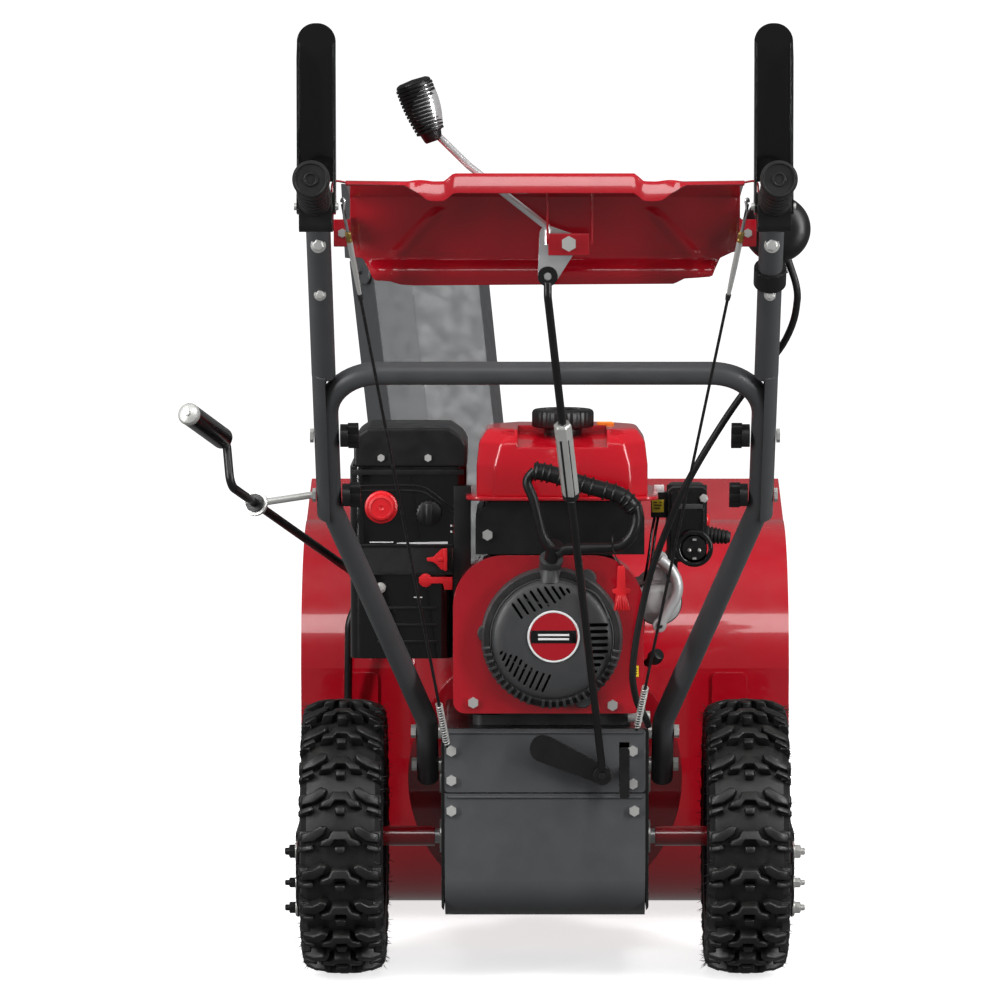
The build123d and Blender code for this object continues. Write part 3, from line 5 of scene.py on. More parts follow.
import bmesh
import bpy
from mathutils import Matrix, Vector

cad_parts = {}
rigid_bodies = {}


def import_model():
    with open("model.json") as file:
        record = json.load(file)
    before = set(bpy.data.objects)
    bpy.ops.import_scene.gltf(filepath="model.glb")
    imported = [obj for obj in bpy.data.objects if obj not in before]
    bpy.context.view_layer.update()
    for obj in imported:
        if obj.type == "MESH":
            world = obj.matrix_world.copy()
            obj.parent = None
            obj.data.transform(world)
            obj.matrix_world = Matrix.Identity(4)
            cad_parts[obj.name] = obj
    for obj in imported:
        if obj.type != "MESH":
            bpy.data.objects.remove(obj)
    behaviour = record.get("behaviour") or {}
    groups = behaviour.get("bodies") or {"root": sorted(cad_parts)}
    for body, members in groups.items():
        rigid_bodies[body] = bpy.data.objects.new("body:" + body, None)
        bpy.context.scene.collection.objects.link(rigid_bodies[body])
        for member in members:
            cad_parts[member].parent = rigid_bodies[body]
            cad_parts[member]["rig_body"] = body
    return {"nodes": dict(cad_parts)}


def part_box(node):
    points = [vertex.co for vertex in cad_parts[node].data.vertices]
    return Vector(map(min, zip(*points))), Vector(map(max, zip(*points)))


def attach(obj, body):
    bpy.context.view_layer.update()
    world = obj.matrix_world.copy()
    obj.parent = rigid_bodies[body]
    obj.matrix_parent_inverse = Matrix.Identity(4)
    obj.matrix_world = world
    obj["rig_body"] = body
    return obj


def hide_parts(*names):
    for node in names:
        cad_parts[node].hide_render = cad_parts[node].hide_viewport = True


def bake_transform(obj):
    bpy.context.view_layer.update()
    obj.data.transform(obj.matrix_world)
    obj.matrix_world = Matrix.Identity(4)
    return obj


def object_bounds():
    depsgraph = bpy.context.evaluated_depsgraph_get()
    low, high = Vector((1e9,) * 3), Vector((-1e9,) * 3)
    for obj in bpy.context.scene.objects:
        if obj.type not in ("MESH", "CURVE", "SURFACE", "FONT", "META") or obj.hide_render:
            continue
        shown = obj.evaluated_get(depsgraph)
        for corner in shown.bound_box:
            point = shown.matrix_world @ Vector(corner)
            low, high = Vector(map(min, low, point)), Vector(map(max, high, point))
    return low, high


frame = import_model()
cad_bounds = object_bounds()
scene = bpy.context.scene
rng = random.Random(7)
nodes = frame["nodes"]
MM = 0.001


def middle(node):
    """The centre of a CAD node's box."""
    low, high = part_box(node)
    return (low + high) / 2


# ---------------------------------------------------------------- materials
DUST_COLOUR = (0.3, 0.28, 0.25)
BARE_METAL = (0.35, 0.35, 0.35)
EDGE_SAMPLES = 3
WEAR_REACH = 0.0012
GRAIN_HEIGHT = 0.0004


def finish(name, colour, rough, metal=0.0, coat=0.0, coat_rough=0.05, grain=(900, 0.05), tone=0.08,
        dust=0.0, wear=0.0, bevel=0.0007, specular=0.5, waves=None):
    """A procedural finish: uneven tone and gloss, fine grain, rounded edges, light dust and edge wear."""
    made = bpy.data.materials.new(name)
    made.use_nodes = True
    tree = made.node_tree
    shader = tree.nodes["Principled BSDF"]
    shader.inputs["Metallic"].default_value = metal
    shader.inputs["Coat Weight"].default_value = coat
    shader.inputs["Coat Roughness"].default_value = coat_rough
    shader.inputs["Specular IOR Level"].default_value = specular
    place = tree.nodes.new("ShaderNodeTexCoord")

    def noise(scale, detail=4.0, stretch=None):
        texture = tree.nodes.new("ShaderNodeTexNoise")
        texture.inputs["Scale"].default_value = scale
        texture.inputs["Detail"].default_value = detail
        if stretch:
            scaled = tree.nodes.new("ShaderNodeMapping")
            scaled.inputs["Scale"].default_value = stretch
            tree.links.new(place.outputs["Object"], scaled.inputs["Vector"])
            tree.links.new(scaled.outputs["Vector"], texture.inputs["Vector"])
        else:
            tree.links.new(place.outputs["Object"], texture.inputs["Vector"])
        return texture.outputs["Fac"]

    def ramp(source, low, high, out_low, out_high):
        step = tree.nodes.new("ShaderNodeMapRange")
        for socket, value in zip(("From Min", "From Max", "To Min", "To Max"),
                (low, high, out_low, out_high)):
            step.inputs[socket].default_value = value
        tree.links.new(source, step.inputs["Value"])
        return step.outputs["Result"]

    def mix(first, second, factor):
        blend = tree.nodes.new("ShaderNodeMix")
        blend.data_type = "RGBA"
        for socket, value in ((blend.inputs[6], first), (blend.inputs[7], second)):
            if isinstance(value, tuple):
                socket.default_value = (*value, 1)
            else:
                tree.links.new(value, socket)
        tree.links.new(factor, blend.inputs[0])
        return blend.outputs[2]

    def combine(operation, first, second):
        node = tree.nodes.new("ShaderNodeMath")
        node.operation = operation
        tree.links.new(first, node.inputs[0])
        tree.links.new(second, node.inputs[1])
        return node.outputs[0]

    broad = noise(14, 3)
    fine = noise(grain[0], 2)
    shade = mix(tuple(c * (1 - tone) for c in colour), tuple(min(1, c * (1 + tone)) for c in colour),
        ramp(broad, 0.3, 0.7, 0, 1))
    gloss = ramp(noise(60, 5), 0.3, 0.7, rough * 0.82, min(1, rough * 1.22))
    if dust:
        shape = tree.nodes.new("ShaderNodeNewGeometry")
        split = tree.nodes.new("ShaderNodeSeparateXYZ")
        tree.links.new(shape.outputs["Normal"], split.inputs["Vector"])
        lying = ramp(split.outputs["Z"], 0.2, 1.0, 0.15, 1.0)
        patchy = ramp(noise(45, 6), 0.42, 0.72, 0, dust)
        shade = mix(shade, DUST_COLOUR, combine("MULTIPLY", lying, patchy))
    if wear:
        # Where the rounded normal leaves the flat one, an edge is near.
        shape = tree.nodes.new("ShaderNodeNewGeometry")
        near_edge = tree.nodes.new("ShaderNodeBevel")
        near_edge.samples = EDGE_SAMPLES
        near_edge.inputs["Radius"].default_value = WEAR_REACH
        level = tree.nodes.new("ShaderNodeVectorMath")
        level.operation = "DOT_PRODUCT"
        tree.links.new(shape.outputs["Normal"], level.inputs[0])
        tree.links.new(near_edge.outputs["Normal"], level.inputs[1])
        edge = ramp(level.outputs["Value"], 0.93, 0.8, 0, 1)
        broken = ramp(noise(260, 6), 0.52, 0.66, 0, wear)
        shade = mix(shade, BARE_METAL, combine("MULTIPLY", edge, broken))
    tree.links.new(shade, shader.inputs["Base Color"])
    tree.links.new(gloss, shader.inputs["Roughness"])
    height = fine
    if waves:
        height = combine("ADD", fine, noise(waves[0], 2, waves[1]))
    bump = tree.nodes.new("ShaderNodeBump")
    bump.inputs["Strength"].default_value = grain[1]
    bump.inputs["Distance"].default_value = GRAIN_HEIGHT
    tree.links.new(height, bump.inputs["Height"])
    if bevel:
        round_edge = tree.nodes.new("ShaderNodeBevel")
        round_edge.samples = EDGE_SAMPLES
        round_edge.inputs["Radius"].default_value = bevel
        tree.links.new(round_edge.outputs["Normal"], bump.inputs["Normal"])
    tree.links.new(bump.outputs["Normal"], shader.inputs["Normal"])
    return made


RED = finish("painted_red_gloss", (0.36, 0.002, 0.01), 0.22, coat=1.0, coat_rough=0.04, grain=(700, 0.04),
    tone=0.05, dust=0.03, wear=0.25, bevel=0.0012)
TANK_RED = finish("moulded_red_tank", (0.46, 0.003, 0.012), 0.22, coat=0.8, coat_rough=0.03,
    grain=(500, 0.03), tone=0.04, dust=0.02, bevel=0.004)
PLASTIC_RED = finish("moulded_red_plastic", (0.62, 0.012, 0.018), 0.34, grain=(1500, 0.1), tone=0.06,
    dust=0.02)
BLACK = finish("painted_black_satin", (0.006, 0.006, 0.0065), 0.32, grain=(900, 0.12), tone=0.15, dust=0.03,
    wear=0.4)
GREY = finish("painted_grey_matte", (0.06, 0.062, 0.066), 0.42, grain=(1400, 0.22), tone=0.07, dust=0.03,
    wear=0.35)
CHUTE_GREY = finish("moulded_grey_chute", (0.052, 0.055, 0.058), 0.4, grain=(600, 0.1), tone=0.03,
    dust=0.01, bevel=0.0025)
ZINC = finish("zinc_plated_steel", (0.6, 0.6, 0.58), 0.34, metal=0.55, grain=(1200, 0.18), tone=0.1,
    dust=0.05, bevel=0.0006)
STEEL = finish("turned_steel", (0.42, 0.42, 0.42), 0.36, metal=0.6, grain=(900, 0.2), tone=0.12,
    waves=(60, (1, 30, 30)))
CHROME = finish("chromed_steel", (0.72, 0.72, 0.73), 0.2, metal=0.65, grain=(500, 0.03), tone=0.04)
CAST = finish("cast_iron_black", (0.045, 0.045, 0.046), 0.55, metal=0.3, grain=(500, 0.5), tone=0.2,
    dust=0.12)
ALLOY = finish("cast_aluminium", (0.5, 0.5, 0.5), 0.45, metal=0.5, grain=(700, 0.35), tone=0.12, dust=0.05)
PLASTIC = finish("moulded_black_plastic", (0.005, 0.005, 0.0055), 0.38, grain=(1600, 0.3), tone=0.15,
    dust=0.03)
GLOSS = finish("glossy_black_plastic", (0.003, 0.003, 0.0032), 0.14, coat=0.4, grain=(600, 0.03), tone=0.1,
    dust=0.01, bevel=0.0012)
COVER_GREY = finish("moulded_grey_cover", (0.042, 0.043, 0.045), 0.4, grain=(1500, 0.28), tone=0.08,
    dust=0.03, bevel=0.0009)
RUBBER = finish("black_rubber", (0.006, 0.006, 0.006), 0.5, grain=(1100, 0.35), tone=0.15, dust=0.05)
TYRE = finish("tyre_rubber", (0.007, 0.007, 0.007), 0.44, grain=(700, 0.5), tone=0.2, dust=0.05,
    bevel=0.0012)
BRASS = finish("brass", (0.62, 0.4, 0.12), 0.3, metal=1.0, grain=(800, 0.1))
WHITE = finish("printed_white", (0.75, 0.75, 0.75), 0.35, grain=(800, 0.05), tone=0.03)
YELLOW = finish("printed_yellow", (0.85, 0.62, 0.03), 0.38, grain=(900, 0.08), tone=0.05)
ORANGE = finish("printed_orange", (0.85, 0.24, 0.02), 0.4, grain=(900, 0.08), tone=0.05)
# A flat black: painted shade behind the recoil slots and vanes and in the lever channel, and the colour of
# printed marks and a pin.
SHADE_AND_PRINT_BLACK = finish("shade_and_print_black", (0.004, 0.004, 0.004), 0.7, grain=(900, 0.1))
LENS = finish("lens_clear", (0.75, 0.78, 0.8), 0.08, coat=0.6, grain=(300, 0.05), tone=0.03)

NODE_FINISH = {RED: ["auger_housing", "impeller_housing", "engine_shroud", "dash_panel", "wheel_rims",
    "auger_flights", "impeller"], TANK_RED: ["fuel_tank"], PLASTIC_RED: ["throttle_lever", "fuel_valve",
    "primer_bulb", "start_button"], BLACK: ["frame_box", "wear_parts", "chute_base", "handle_brackets",
    "clutch_arm", "shift_arm", "shift_rod", "chute_crank", "auger_wire", "drive_wire"],
    GREY: ["rear_cover_upper", "rear_cover_lower", "lower_handle", "upper_handles"],
    CHUTE_GREY: ["chute", "deflector"], ZINC: ["fasteners", "bearings"],
    STEEL: ["axle", "impeller_shaft", "auger_shaft", "crankshaft", "hex_shaft", "muffler", "drive_disc"],
    CHROME: ["shift_lever"], CAST: ["auger_gearbox", "engine_block"],
    PLASTIC: ["belt_cover", "engine_top_cover", "clamp_knobs", "recoil_handle", "choke_knob",
    "clean_out_tool", "fuel_cap", "headlight", "electric_starter"],
    GLOSS: ["carb_cover", "carb_cover_lid", "auger_lever", "drive_lever", "crank_grip"],
    COVER_GREY: ["recoil_cover"], RUBBER: ["belts", "friction_wheel", "handle_grips", "light_cable"],
    TYRE: ["tyres"],}
for material, names in NODE_FINISH.items():
    for name in names:
        nodes[name].data.materials.clear()
        nodes[name].data.materials.append(material)


# ---------------------------------------------------------------- shapes, each a (points, faces) pair
def joined(i, j, count):
    """The quads between ring i and ring j, of count points each."""
    pairs = [(k, (k + 1) % count) for k in range(count)]
    return [(i * count + k, i * count + n, j * count + n, j * count + k) for k, n in pairs]


def tube(points, radius, sides=14, smooth=0, closed=False, flat=None):
    """A round tube along points; radius may be a function of the share of the length; flat squashes it."""
    points = [Vector(p) for p in points]
    if smooth:
        points = eased(points, smooth, closed)
    count = len(points)
    verts, faces = [], []
    tangent = (points[1] - points[0]).normalized()
    side = tangent.orthogonal().normalized()
    if flat:
        side = (Vector(flat[0]) - tangent * Vector(flat[0]).dot(tangent)).normalized()
    for i, point in enumerate(points):
        if closed:
            ahead = points[(i + 1) % count] - points[i - 1]
        else:
            ahead = points[min(i + 1, count - 1)] - points[max(i - 1, 0)]
        ahead.normalize()
        side = (side - ahead * side.dot(ahead)).normalized()
        up = ahead.cross(side)
        size = radius(i / (count - 1)) if callable(radius) else radius
        wide = size * (flat[1] if flat else 1)
        for k in range(sides):
            turn = 2 * math.pi * k / sides
            verts.append(point + side * (wide * math.cos(turn)) + up * (size * math.sin(turn)))
    rings = count if closed else count - 1
    for i in range(rings):
        faces += joined(i, (i + 1) % count, sides)
    if not closed:
        faces.append(tuple(range(sides - 1, -1, -1)))
        faces.append(tuple((count - 1) * sides + k for k in range(sides)))
    return verts, faces


def eased(points, steps, closed=False):
    """Points on a smooth curve through the given ones."""
    count = len(points)
    out = []
    for i in range(count if closed else count - 1):
        if closed:
            a, b, c, d = (points[(i + k) % count] for k in (-1, 0, 1, 2))
        else:
            a, b, c, d = (points[min(max(i + k, 0), count - 1)] for k in (-1, 0, 1, 2))
        for s in range(steps):
            t = s / steps
            out.append(0.5 * ((2 * b) + (c - a) * t + (2 * a - 5 * b + 4 * c - d) * t * t
                + (3 * b - a - 3 * c + d) * t ** 3))
    if not closed:
        out.append(points[-1])
    return out


def turned(profile, origin, axis, sides=40):
    """A shape turned round an axis; profile is (radius, distance along the axis) pairs."""
    origin, axis = Vector(origin), Vector(axis).normalized()
    side = axis.orthogonal().normalized()
    up = axis.cross(side)
    verts, faces = [], []
    for radius, along in profile:
        for k in range(sides):
            turn = math.radians(360.0 * k / sides)
            verts.append(origin + axis * along + (side * math.cos(turn) + up * math.sin(turn)) * radius)
    last = len(profile) - 1
    for i in range(last):
        faces += joined(i, i + 1, sides)
    if profile[0][0] > 0 and profile[-1][0] > 0:
        # A profile that stays off the axis makes a ring, so its end joins its start.
        faces += joined(last, 0, sides)
    return verts, faces


def slab(outline, origin, across, up, depth):
    """A flat outline in (across, up) pushed out by depth along across x up."""
    origin, across, up = Vector(origin), Vector(across).normalized(), Vector(up).normalized()
    out = across.cross(up)
    near = [origin + across * a + up * b for a, b in outline]
    far = [p + out * depth for p in near]
    count = len(near)
    faces = [tuple(range(count - 1, -1, -1)), tuple(range(count, 2 * count))]
    faces += [(i, (i + 1) % count, count + (i + 1) % count, count + i) for i in range(count)]
    return near + far, faces


def block(centre, size, across=(1, 0, 0), up=(0, 0, 1)):
    """A box with its own directions."""
    across, up = Vector(across).normalized(), Vector(up).normalized()
    out = across.cross(up)
    a, b, c = (s / 2 for s in size)
    return slab([(-a, -c), (a, -c), (a, c), (-a, c)], Vector(centre) - out * b, across, up, 2 * b)


def rounded(width, height, radius, steps=4):
    """The outline of a rectangle with round corners."""
    out = []
    for cx, cy, first in ((1, 1, 0), (-1, 1, 90), (-1, -1, 180), (1, -1, 270)):
        for s in range(steps + 1):
            turn = math.radians(first + 90 * s / steps)
            out.append((cx * (width / 2 - radius) + radius * math.cos(turn),
                cy * (height / 2 - radius) + radius * math.sin(turn)))
    return out


def filled(shapes):
    """A bmesh that holds the shapes."""
    build = bmesh.new()
    for verts, faces in shapes:
        made = [build.verts.new(v) for v in verts]
        for face in faces:
            try:
                build.faces.new([made[i] for i in face])
            except ValueError:
                # A shape may list one face twice.
                pass
    return build


def smoothed(mesh, angle):
    """Smooth shading on a mesh, apart from edges sharper than angle."""
    for face in mesh.polygons:
        face.use_smooth = True
    mesh.set_sharp_from_angle(angle=math.radians(angle))


def piece(name, shapes, material, body="root", bevel=0.0, segments=2, angle=35, cut=None):
    """One object made from shapes, with rounded edges, that rides on a body."""
    build = filled(shapes if isinstance(shapes, list) else [shapes])
    bmesh.ops.remove_doubles(build, verts=build.verts, dist=1e-6)
    bmesh.ops.recalc_face_normals(build, faces=build.faces)
    if bevel:
        sharp = [e for e in build.edges
            if len(e.link_faces) == 2 and e.calc_face_angle() > math.radians(angle)]
        bmesh.ops.bevel(build, geom=sharp, offset=bevel, segments=segments, affect="EDGES", profile=0.6,
            clamp_overlap=True)
    mesh = bpy.data.meshes.new(name)
    build.to_mesh(mesh)
    build.free()
    smoothed(mesh, angle)
    mesh.materials.append(material)
    made = bpy.data.objects.new(name, mesh)
    scene.collection.objects.link(made)
    if cut:
        carve(made, cut)
    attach(made, body)
    return made


def carve(target, shapes):
    """Takes shapes out of an object."""
    build = filled(shapes)
    bmesh.ops.recalc_face_normals(build, faces=build.faces)
    mesh = bpy.data.meshes.new("carving")
    build.to_mesh(mesh)
    build.free()
    tool = bpy.data.objects.new("carving", mesh)
    scene.collection.objects.link(tool)
    step = target.modifiers.new("carve", "BOOLEAN")
    step.operation = "DIFFERENCE"
    step.solver = "EXACT"
    step.object = tool
    step.use_self = True
    bpy.context.view_layer.update()
    result = bpy.data.meshes.new_from_object(target.evaluated_get(bpy.context.evaluated_depsgraph_get()))
    target.modifiers.clear()
    target.data = result
    smoothed(result, 35)
    bpy.data.objects.remove(tool)


# ---------------------------------------------------------------- tyres
TREAD_ROWS = 22
PITCH_UNITS = 47
SHOULDER = 0.0475
HAIRS = 520


def tread(side):
    """The lugs of one snow tyre, wrapped round its crown."""
    low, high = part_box("tyres")
    radius = (high.z - low.z) / 2
    centre = Vector((side * (high.x - 0.05), 0, radius))
    lugs = []

    def wrap(outline, turn, height):
        """A flat outline (across, along) laid on the crown, its top narrower than its foot."""
        verts = []
        mid_across = sum(a for a, b in outline) / len(outline)
        mid_along = sum(b for a, b in outline) / len(outline)
        for level, share in ((0.0, 1.0), (height * 0.85, 0.9), (height, 0.82)):
            for a, b in outline:
                x = mid_across + (a - mid_across) * share
                s = mid_along + (b - mid_along) * share
                crown = radius - height - 0.01 * (abs(x) / 0.048) ** 3
                angle = turn + s / radius
                r = crown + level
                verts.append(centre + Vector((x, -r * math.sin(angle), r * math.cos(angle))))
        n = len(outline)
        faces = [tuple(range(n - 1, -1, -1)), tuple(range(2 * n, 3 * n))]
        faces += joined(0, 1, n) + joined(1, 2, n)
        lugs.append((verts, faces))

    # The outlines along the tyre are drawn in units of which 47 make one pitch of the tread.
    u = 2 * math.pi * radius / TREAD_ROWS / PITCH_UNITS
    for row in range(TREAD_ROWS):
        turn = 2 * math.pi * row / TREAD_ROWS
        # A stepped chevron in the middle, and its smaller block between the arms.
        wrap([(-0.026, 12 * u), (-0.013, 12 * u), (-0.007, 3 * u), (0.007, 3 * u), (0.013, 12 * u),
            (0.026, 12 * u), (0.025, 5 * u), (0.015, 1 * u), (0.01, -9 * u), (-0.01, -9 * u),
            (-0.015, 1 * u), (-0.025, 5 * u)], turn, 0.013)
        wrap([(-0.0055, 17 * u), (0.0055, 17 * u), (0.007, 8 * u), (-0.007, 8 * u)], turn + 0.02, 0.0115)
        for half in (-1, 1):
            # Shoulder blocks, slanted, and the smaller ones between them.
            wrap([(half * 0.018, -3 * u), (half * 0.031, 6 * u), (half * SHOULDER, 9 * u),
                (half * SHOULDER, -4 * u), (half * 0.034, -7 * u), (half * 0.022, -15 * u),
                (half * 0.014, -12 * u)], turn, 0.0135)
            wrap([(half * 0.03, 15 * u), (half * 0.0465, 20 * u), (half * 0.0465, 12.5 * u),
                (half * 0.032, 9 * u)], turn, 0.0105)
            # Side bars that run down the wall.
            for shift in (-1.5 * u, 16 * u):
                angle = turn + shift / radius
                out = Vector((0, -math.sin(angle), math.cos(angle)))
                ring = Vector((0, -math.cos(angle), -math.sin(angle)))
                foot = centre + Vector((half * SHOULDER, 0, 0))
                wide = 0.0055 if shift < 0 else 0.0035
                deep = 0.03 if shift < 0 else 0.02
                verts = []
                for r, x in ((radius - 0.0115, 0.0), (radius - 0.0215, 0.0022),
                        (radius - deep - 0.012, 0.0008)):
                    for a, b in ((-1, -0.01), (-1, x), (1, x), (1, -0.01)):
                        verts.append(foot + out * r + ring * (a * wide) + Vector((half * b, 0, 0)))
                faces = [(3, 2, 1, 0), (8, 9, 10, 11)]
                faces += joined(0, 1, 4) + joined(1, 2, 4)
                lugs.append((verts, faces))
    return centre, radius, lugs


for side, label in ((-1, "left"), (1, "right")):
    centre, radius, lugs = tread(side)
    carcass = turned([(0.0775, -0.034), (0.084, -0.038), (0.09, -0.0415), (0.108, -0.0475),
        (0.126, -0.0485), (0.14, -0.0465), (0.1475, -0.04), (0.151, -0.025), (0.1525, 0.0), (0.151, 0.025),
        (0.1475, 0.04), (0.14, 0.0465), (0.126, 0.0485), (0.108, 0.0475), (0.09, 0.0415), (0.084, 0.038),
        (0.0775, 0.034)], centre, (1, 0, 0), 96)
    rings = [turned([(r, half * x), (r + 0.0015, half * (x + 0.0012)), (r + 0.003, half * x)], centre,
        (1, 0, 0), 96) for half in (-1, 1) for r, x in ((0.094, 0.0432), (0.101, 0.0458), (0.118, 0.0482))]
    tyre = piece(f"tyre_{label}", [carcass, *rings], TYRE, "wheels", angle=30)
    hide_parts("tyres")
    blocks = piece(f"tread_{label}", lugs, TYRE, "wheels", bevel=0.0009, segments=1, angle=40)
    # Moulding hairs on the shoulders.
    hairs = []
    for _ in range(HAIRS):
        turn = rng.uniform(0, 2 * math.pi)
        half = rng.choice((-1, 1))
        x = half * rng.uniform(0.04, 0.049)
        r = radius - rng.uniform(0.008, 0.034)
        out = Vector((0, -math.sin(turn), math.cos(turn)))
        lean = Vector((half * rng.uniform(0.4, 1.0), 0, 0)) + out * rng.uniform(-0.1, 0.8)
        lean += Vector((0, rng.uniform(-0.3, 0.3), rng.uniform(-0.3, 0.3)))
        foot = centre + Vector((x, 0, 0)) + out * r
        hairs.append(tube([foot, foot + lean.normalized() * rng.uniform(0.005, 0.0095)],
            lambda t: 0.00055 * (1 - 0.7 * t), 4))
    whiskers = piece(f"tyre_hairs_{label}", hairs, TYRE, "wheels")

# ---------------------------------------------------------------- engine, seen from the operator's side
REAR = Vector((0, -1, 0))
ACROSS = Vector((1, 0, 0))
UP = Vector((0, 0, 1))
hub = middle("crankshaft")
hub = Vector((hub.x, 0, hub.z))
low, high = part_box("recoil_cover")
face_y, base_y = low.y, high.y
cover_centre = Vector((hub.x, base_y, hub.z))
ring = piece("recoil_ring", turned([(0.07, 0.006), (0.07, 0.0205), (0.0712, 0.0215), (0.0745, 0.019),
    (0.079, 0.015), (0.0815, 0.0105), (0.0825, 0.005), (0.083, 0.0), (0.0805, 0.0), (0.08, 0.006)],
    cover_centre, REAR, 96), COVER_GREY, bevel=0)
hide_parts("recoil_cover")


def slot_bar(start, direction, length, width, deep=0.03):
    """A round-ended bar used to cut a slot through the cover's face."""
    across = Vector((direction[0], 0, direction[1])).normalized()
    foot = Vector((hub.x + start[0] * MM, face_y + deep / 2, hub.z
        + start[1] * MM)) + across * length * MM / 2
    outline = rounded(length * MM, width * MM, width * MM * 0.48, 3)
    side = across.cross(REAR)
    return slab(outline, foot, across, side, -deep if across.cross(side).y > 0 else deep)


slots = []
for k in range(9):
    turn = math.radians(137.4 - 7.9 * k)
    slots.append(slot_bar((62.5 * math.cos(turn), 62.5 * math.sin(turn)), (0.56, -0.83),
        21 + 4 * math.sin(k * 0.45) - (k > 5) * (k - 5) * 4.2, 3.0))
for k in range(10):
    turn = math.radians(196.5 + 7.0 * k)
    slots.append(slot_bar((62.5 * math.cos(turn), 62.5 * math.sin(turn)), (0.42, 0.907),
        min(23, 5 + 5.5 * k), 2.8))
for k in range(8):
    z = 17.3 - 7.8 * k
    slots.append(slot_bar((40.5, z), (1, 0), 25 if k < 5 else 25 - (k - 4) * 4.2, 4.3))
piece("recoil_face", turned([(0.0, 0.0262), (0.04, 0.0258), (0.06, 0.0232), (0.0675, 0.0185),
    (0.0685, 0.006), (0.0703, 0.006), (0.0703, 0.0205), (0.0695, 0.0232), (0.066, 0.0262), (0.056, 0.0282),
    (0.034, 0.0296), (0.0, 0.0298)], cover_centre, REAR, 96), COVER_GREY, cut=slots)
# A dark disc inside the cover, seen through the slots: painted shade for the dark inside.
piece("recoil_painted_shade", turned([(0.0, 0.014), (0.0675, 0.012), (0.0675, 0.01), (0.0, 0.01)], cover_centre,
    REAR, 48), SHADE_AND_PRINT_BLACK)
# Vanes in the sloped ring, along its lower half, over a dark ring that is painted shade in the gap.
piece("recoil_vent_painted_shade", turned([(0.0722, 0.0206), (0.0735, 0.0214), (0.0795, 0.0158), (0.079, 0.0144)],
    cover_centre, REAR, 60), SHADE_AND_PRINT_BLACK)
vanes = []
for k in range(27):
    degrees = 188 + 6.2 * k
    if 254 < degrees < 262:
        # A gap in the row of vanes.
        continue
    turn = math.radians(degrees)
    out = Vector((math.cos(turn), 0, math.sin(turn)))
    along = out.cross(REAR)
    centre = Vector((hub.x, base_y - 0.0185, hub.z)) + out * 0.0765
    vanes.append(block(centre, (0.0115, 0.004, 0.0034), across=(out + REAR * -0.62).normalized(), up=along))
piece("recoil_vanes", vanes, COVER_GREY, bevel=0.0006)
# Ears with their bolts' seats, and the swirling ribs on the face.
ears = []
for x, z in ((-76, 5), (41, 69), (36, -72)):
    out = Vector((x, 0, z)).normalized()
    centre = Vector((hub.x + x * MM, base_y, hub.z + z * MM))
    ears.append(turned([(0.0, 0.0), (0.0112, 0.0), (0.0108, 0.008), (0.0095, 0.0098), (0.0, 0.0098)],
        centre, REAR, 24))
piece("recoil_ears", ears, COVER_GREY, bevel=0)
ribs = []
for path in (((-69, 15), (-60, -8), (-42, -28), (-24, -36)), ((-53, 42), (-44, 24), (-31, 12), (-29, 4)),
        ((-46, 51), (-10, 42), (12, 43), (26, 47)), ((24, -63), (30, -50), (35, -40), (38, -30)),
        ((38, 60), (52, 52), (62, 36), (66, 24))):
    points = [Vector((hub.x + x * MM, base_y - 0.0296 + 0.0000028 * (x * x + z * z) * 0.5,
        hub.z + z * MM)) for x, z in path]
    ribs.append(tube(points, 0.0011, 8, smooth=6))
piece("recoil_ribs", ribs, COVER_GREY)
# A plain round badge in two tones.
badge = Vector((hub.x + 0.002, face_y, hub.z + 0.004))
piece("badge_rim", turned([(0.0, 0.0), (0.0305, 0.0), (0.0305, 0.0012), (0.0298, 0.002), (0.0284, 0.002),
    (0.028, 0.0014), (0.0, 0.0014)], badge, REAR, 64), WHITE)
piece("badge_field", turned([(0.0, 0.0014), (0.028, 0.0014), (0.0276, 0.002), (0.0, 0.0023)], badge, REAR,
    64), RED)
band = [(-0.0262, -0.0075), (0.0262, -0.0075), (0.0272, 0.0), (0.0262, 0.0075), (-0.0262, 0.0075),
    (-0.0272, 0.0)]
piece("badge_band", slab(band, badge + REAR * 0.0019, ACROSS, UP, 0.0007), GLOSS, bevel=0.0002)
stripe = [(-0.018, -0.0012), (0.018, -0.0012), (0.018, 0.0012), (-0.018, 0.0012)]
for z in (0.0022, -0.0026):
    piece(f"badge_stripe_{'high' if z > 0 else 'low'}", slab(stripe, badge + REAR * 0.0027 + UP * z, ACROSS,
        UP, 0.0004), WHITE)

# The rope's boss, with a bushing, on the cover's top left.
low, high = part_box("recoil_handle")
boss = Vector((hub.x - 0.002, base_y - 0.01, hub.z + 0.084))
neck = Vector((low.x + 0.034, low.y + 0.02, low.z + 0.012))
toward = Vector((0.12, -0.55, 0.82)).normalized()
piece("rope_boss", [turned([(0.0, -0.006), (0.0135, -0.006), (0.013, 0.006), (0.014, 0.009),
    (0.014, 0.0125), (0.01, 0.014), (0.0, 0.014)], boss, toward, 32),
    tube([boss - UP * 0.02 + REAR * 0.002, boss - UP * 0.004], lambda t: 0.016 - 0.003 * t, 20)],
    COVER_GREY, bevel=0.0006)

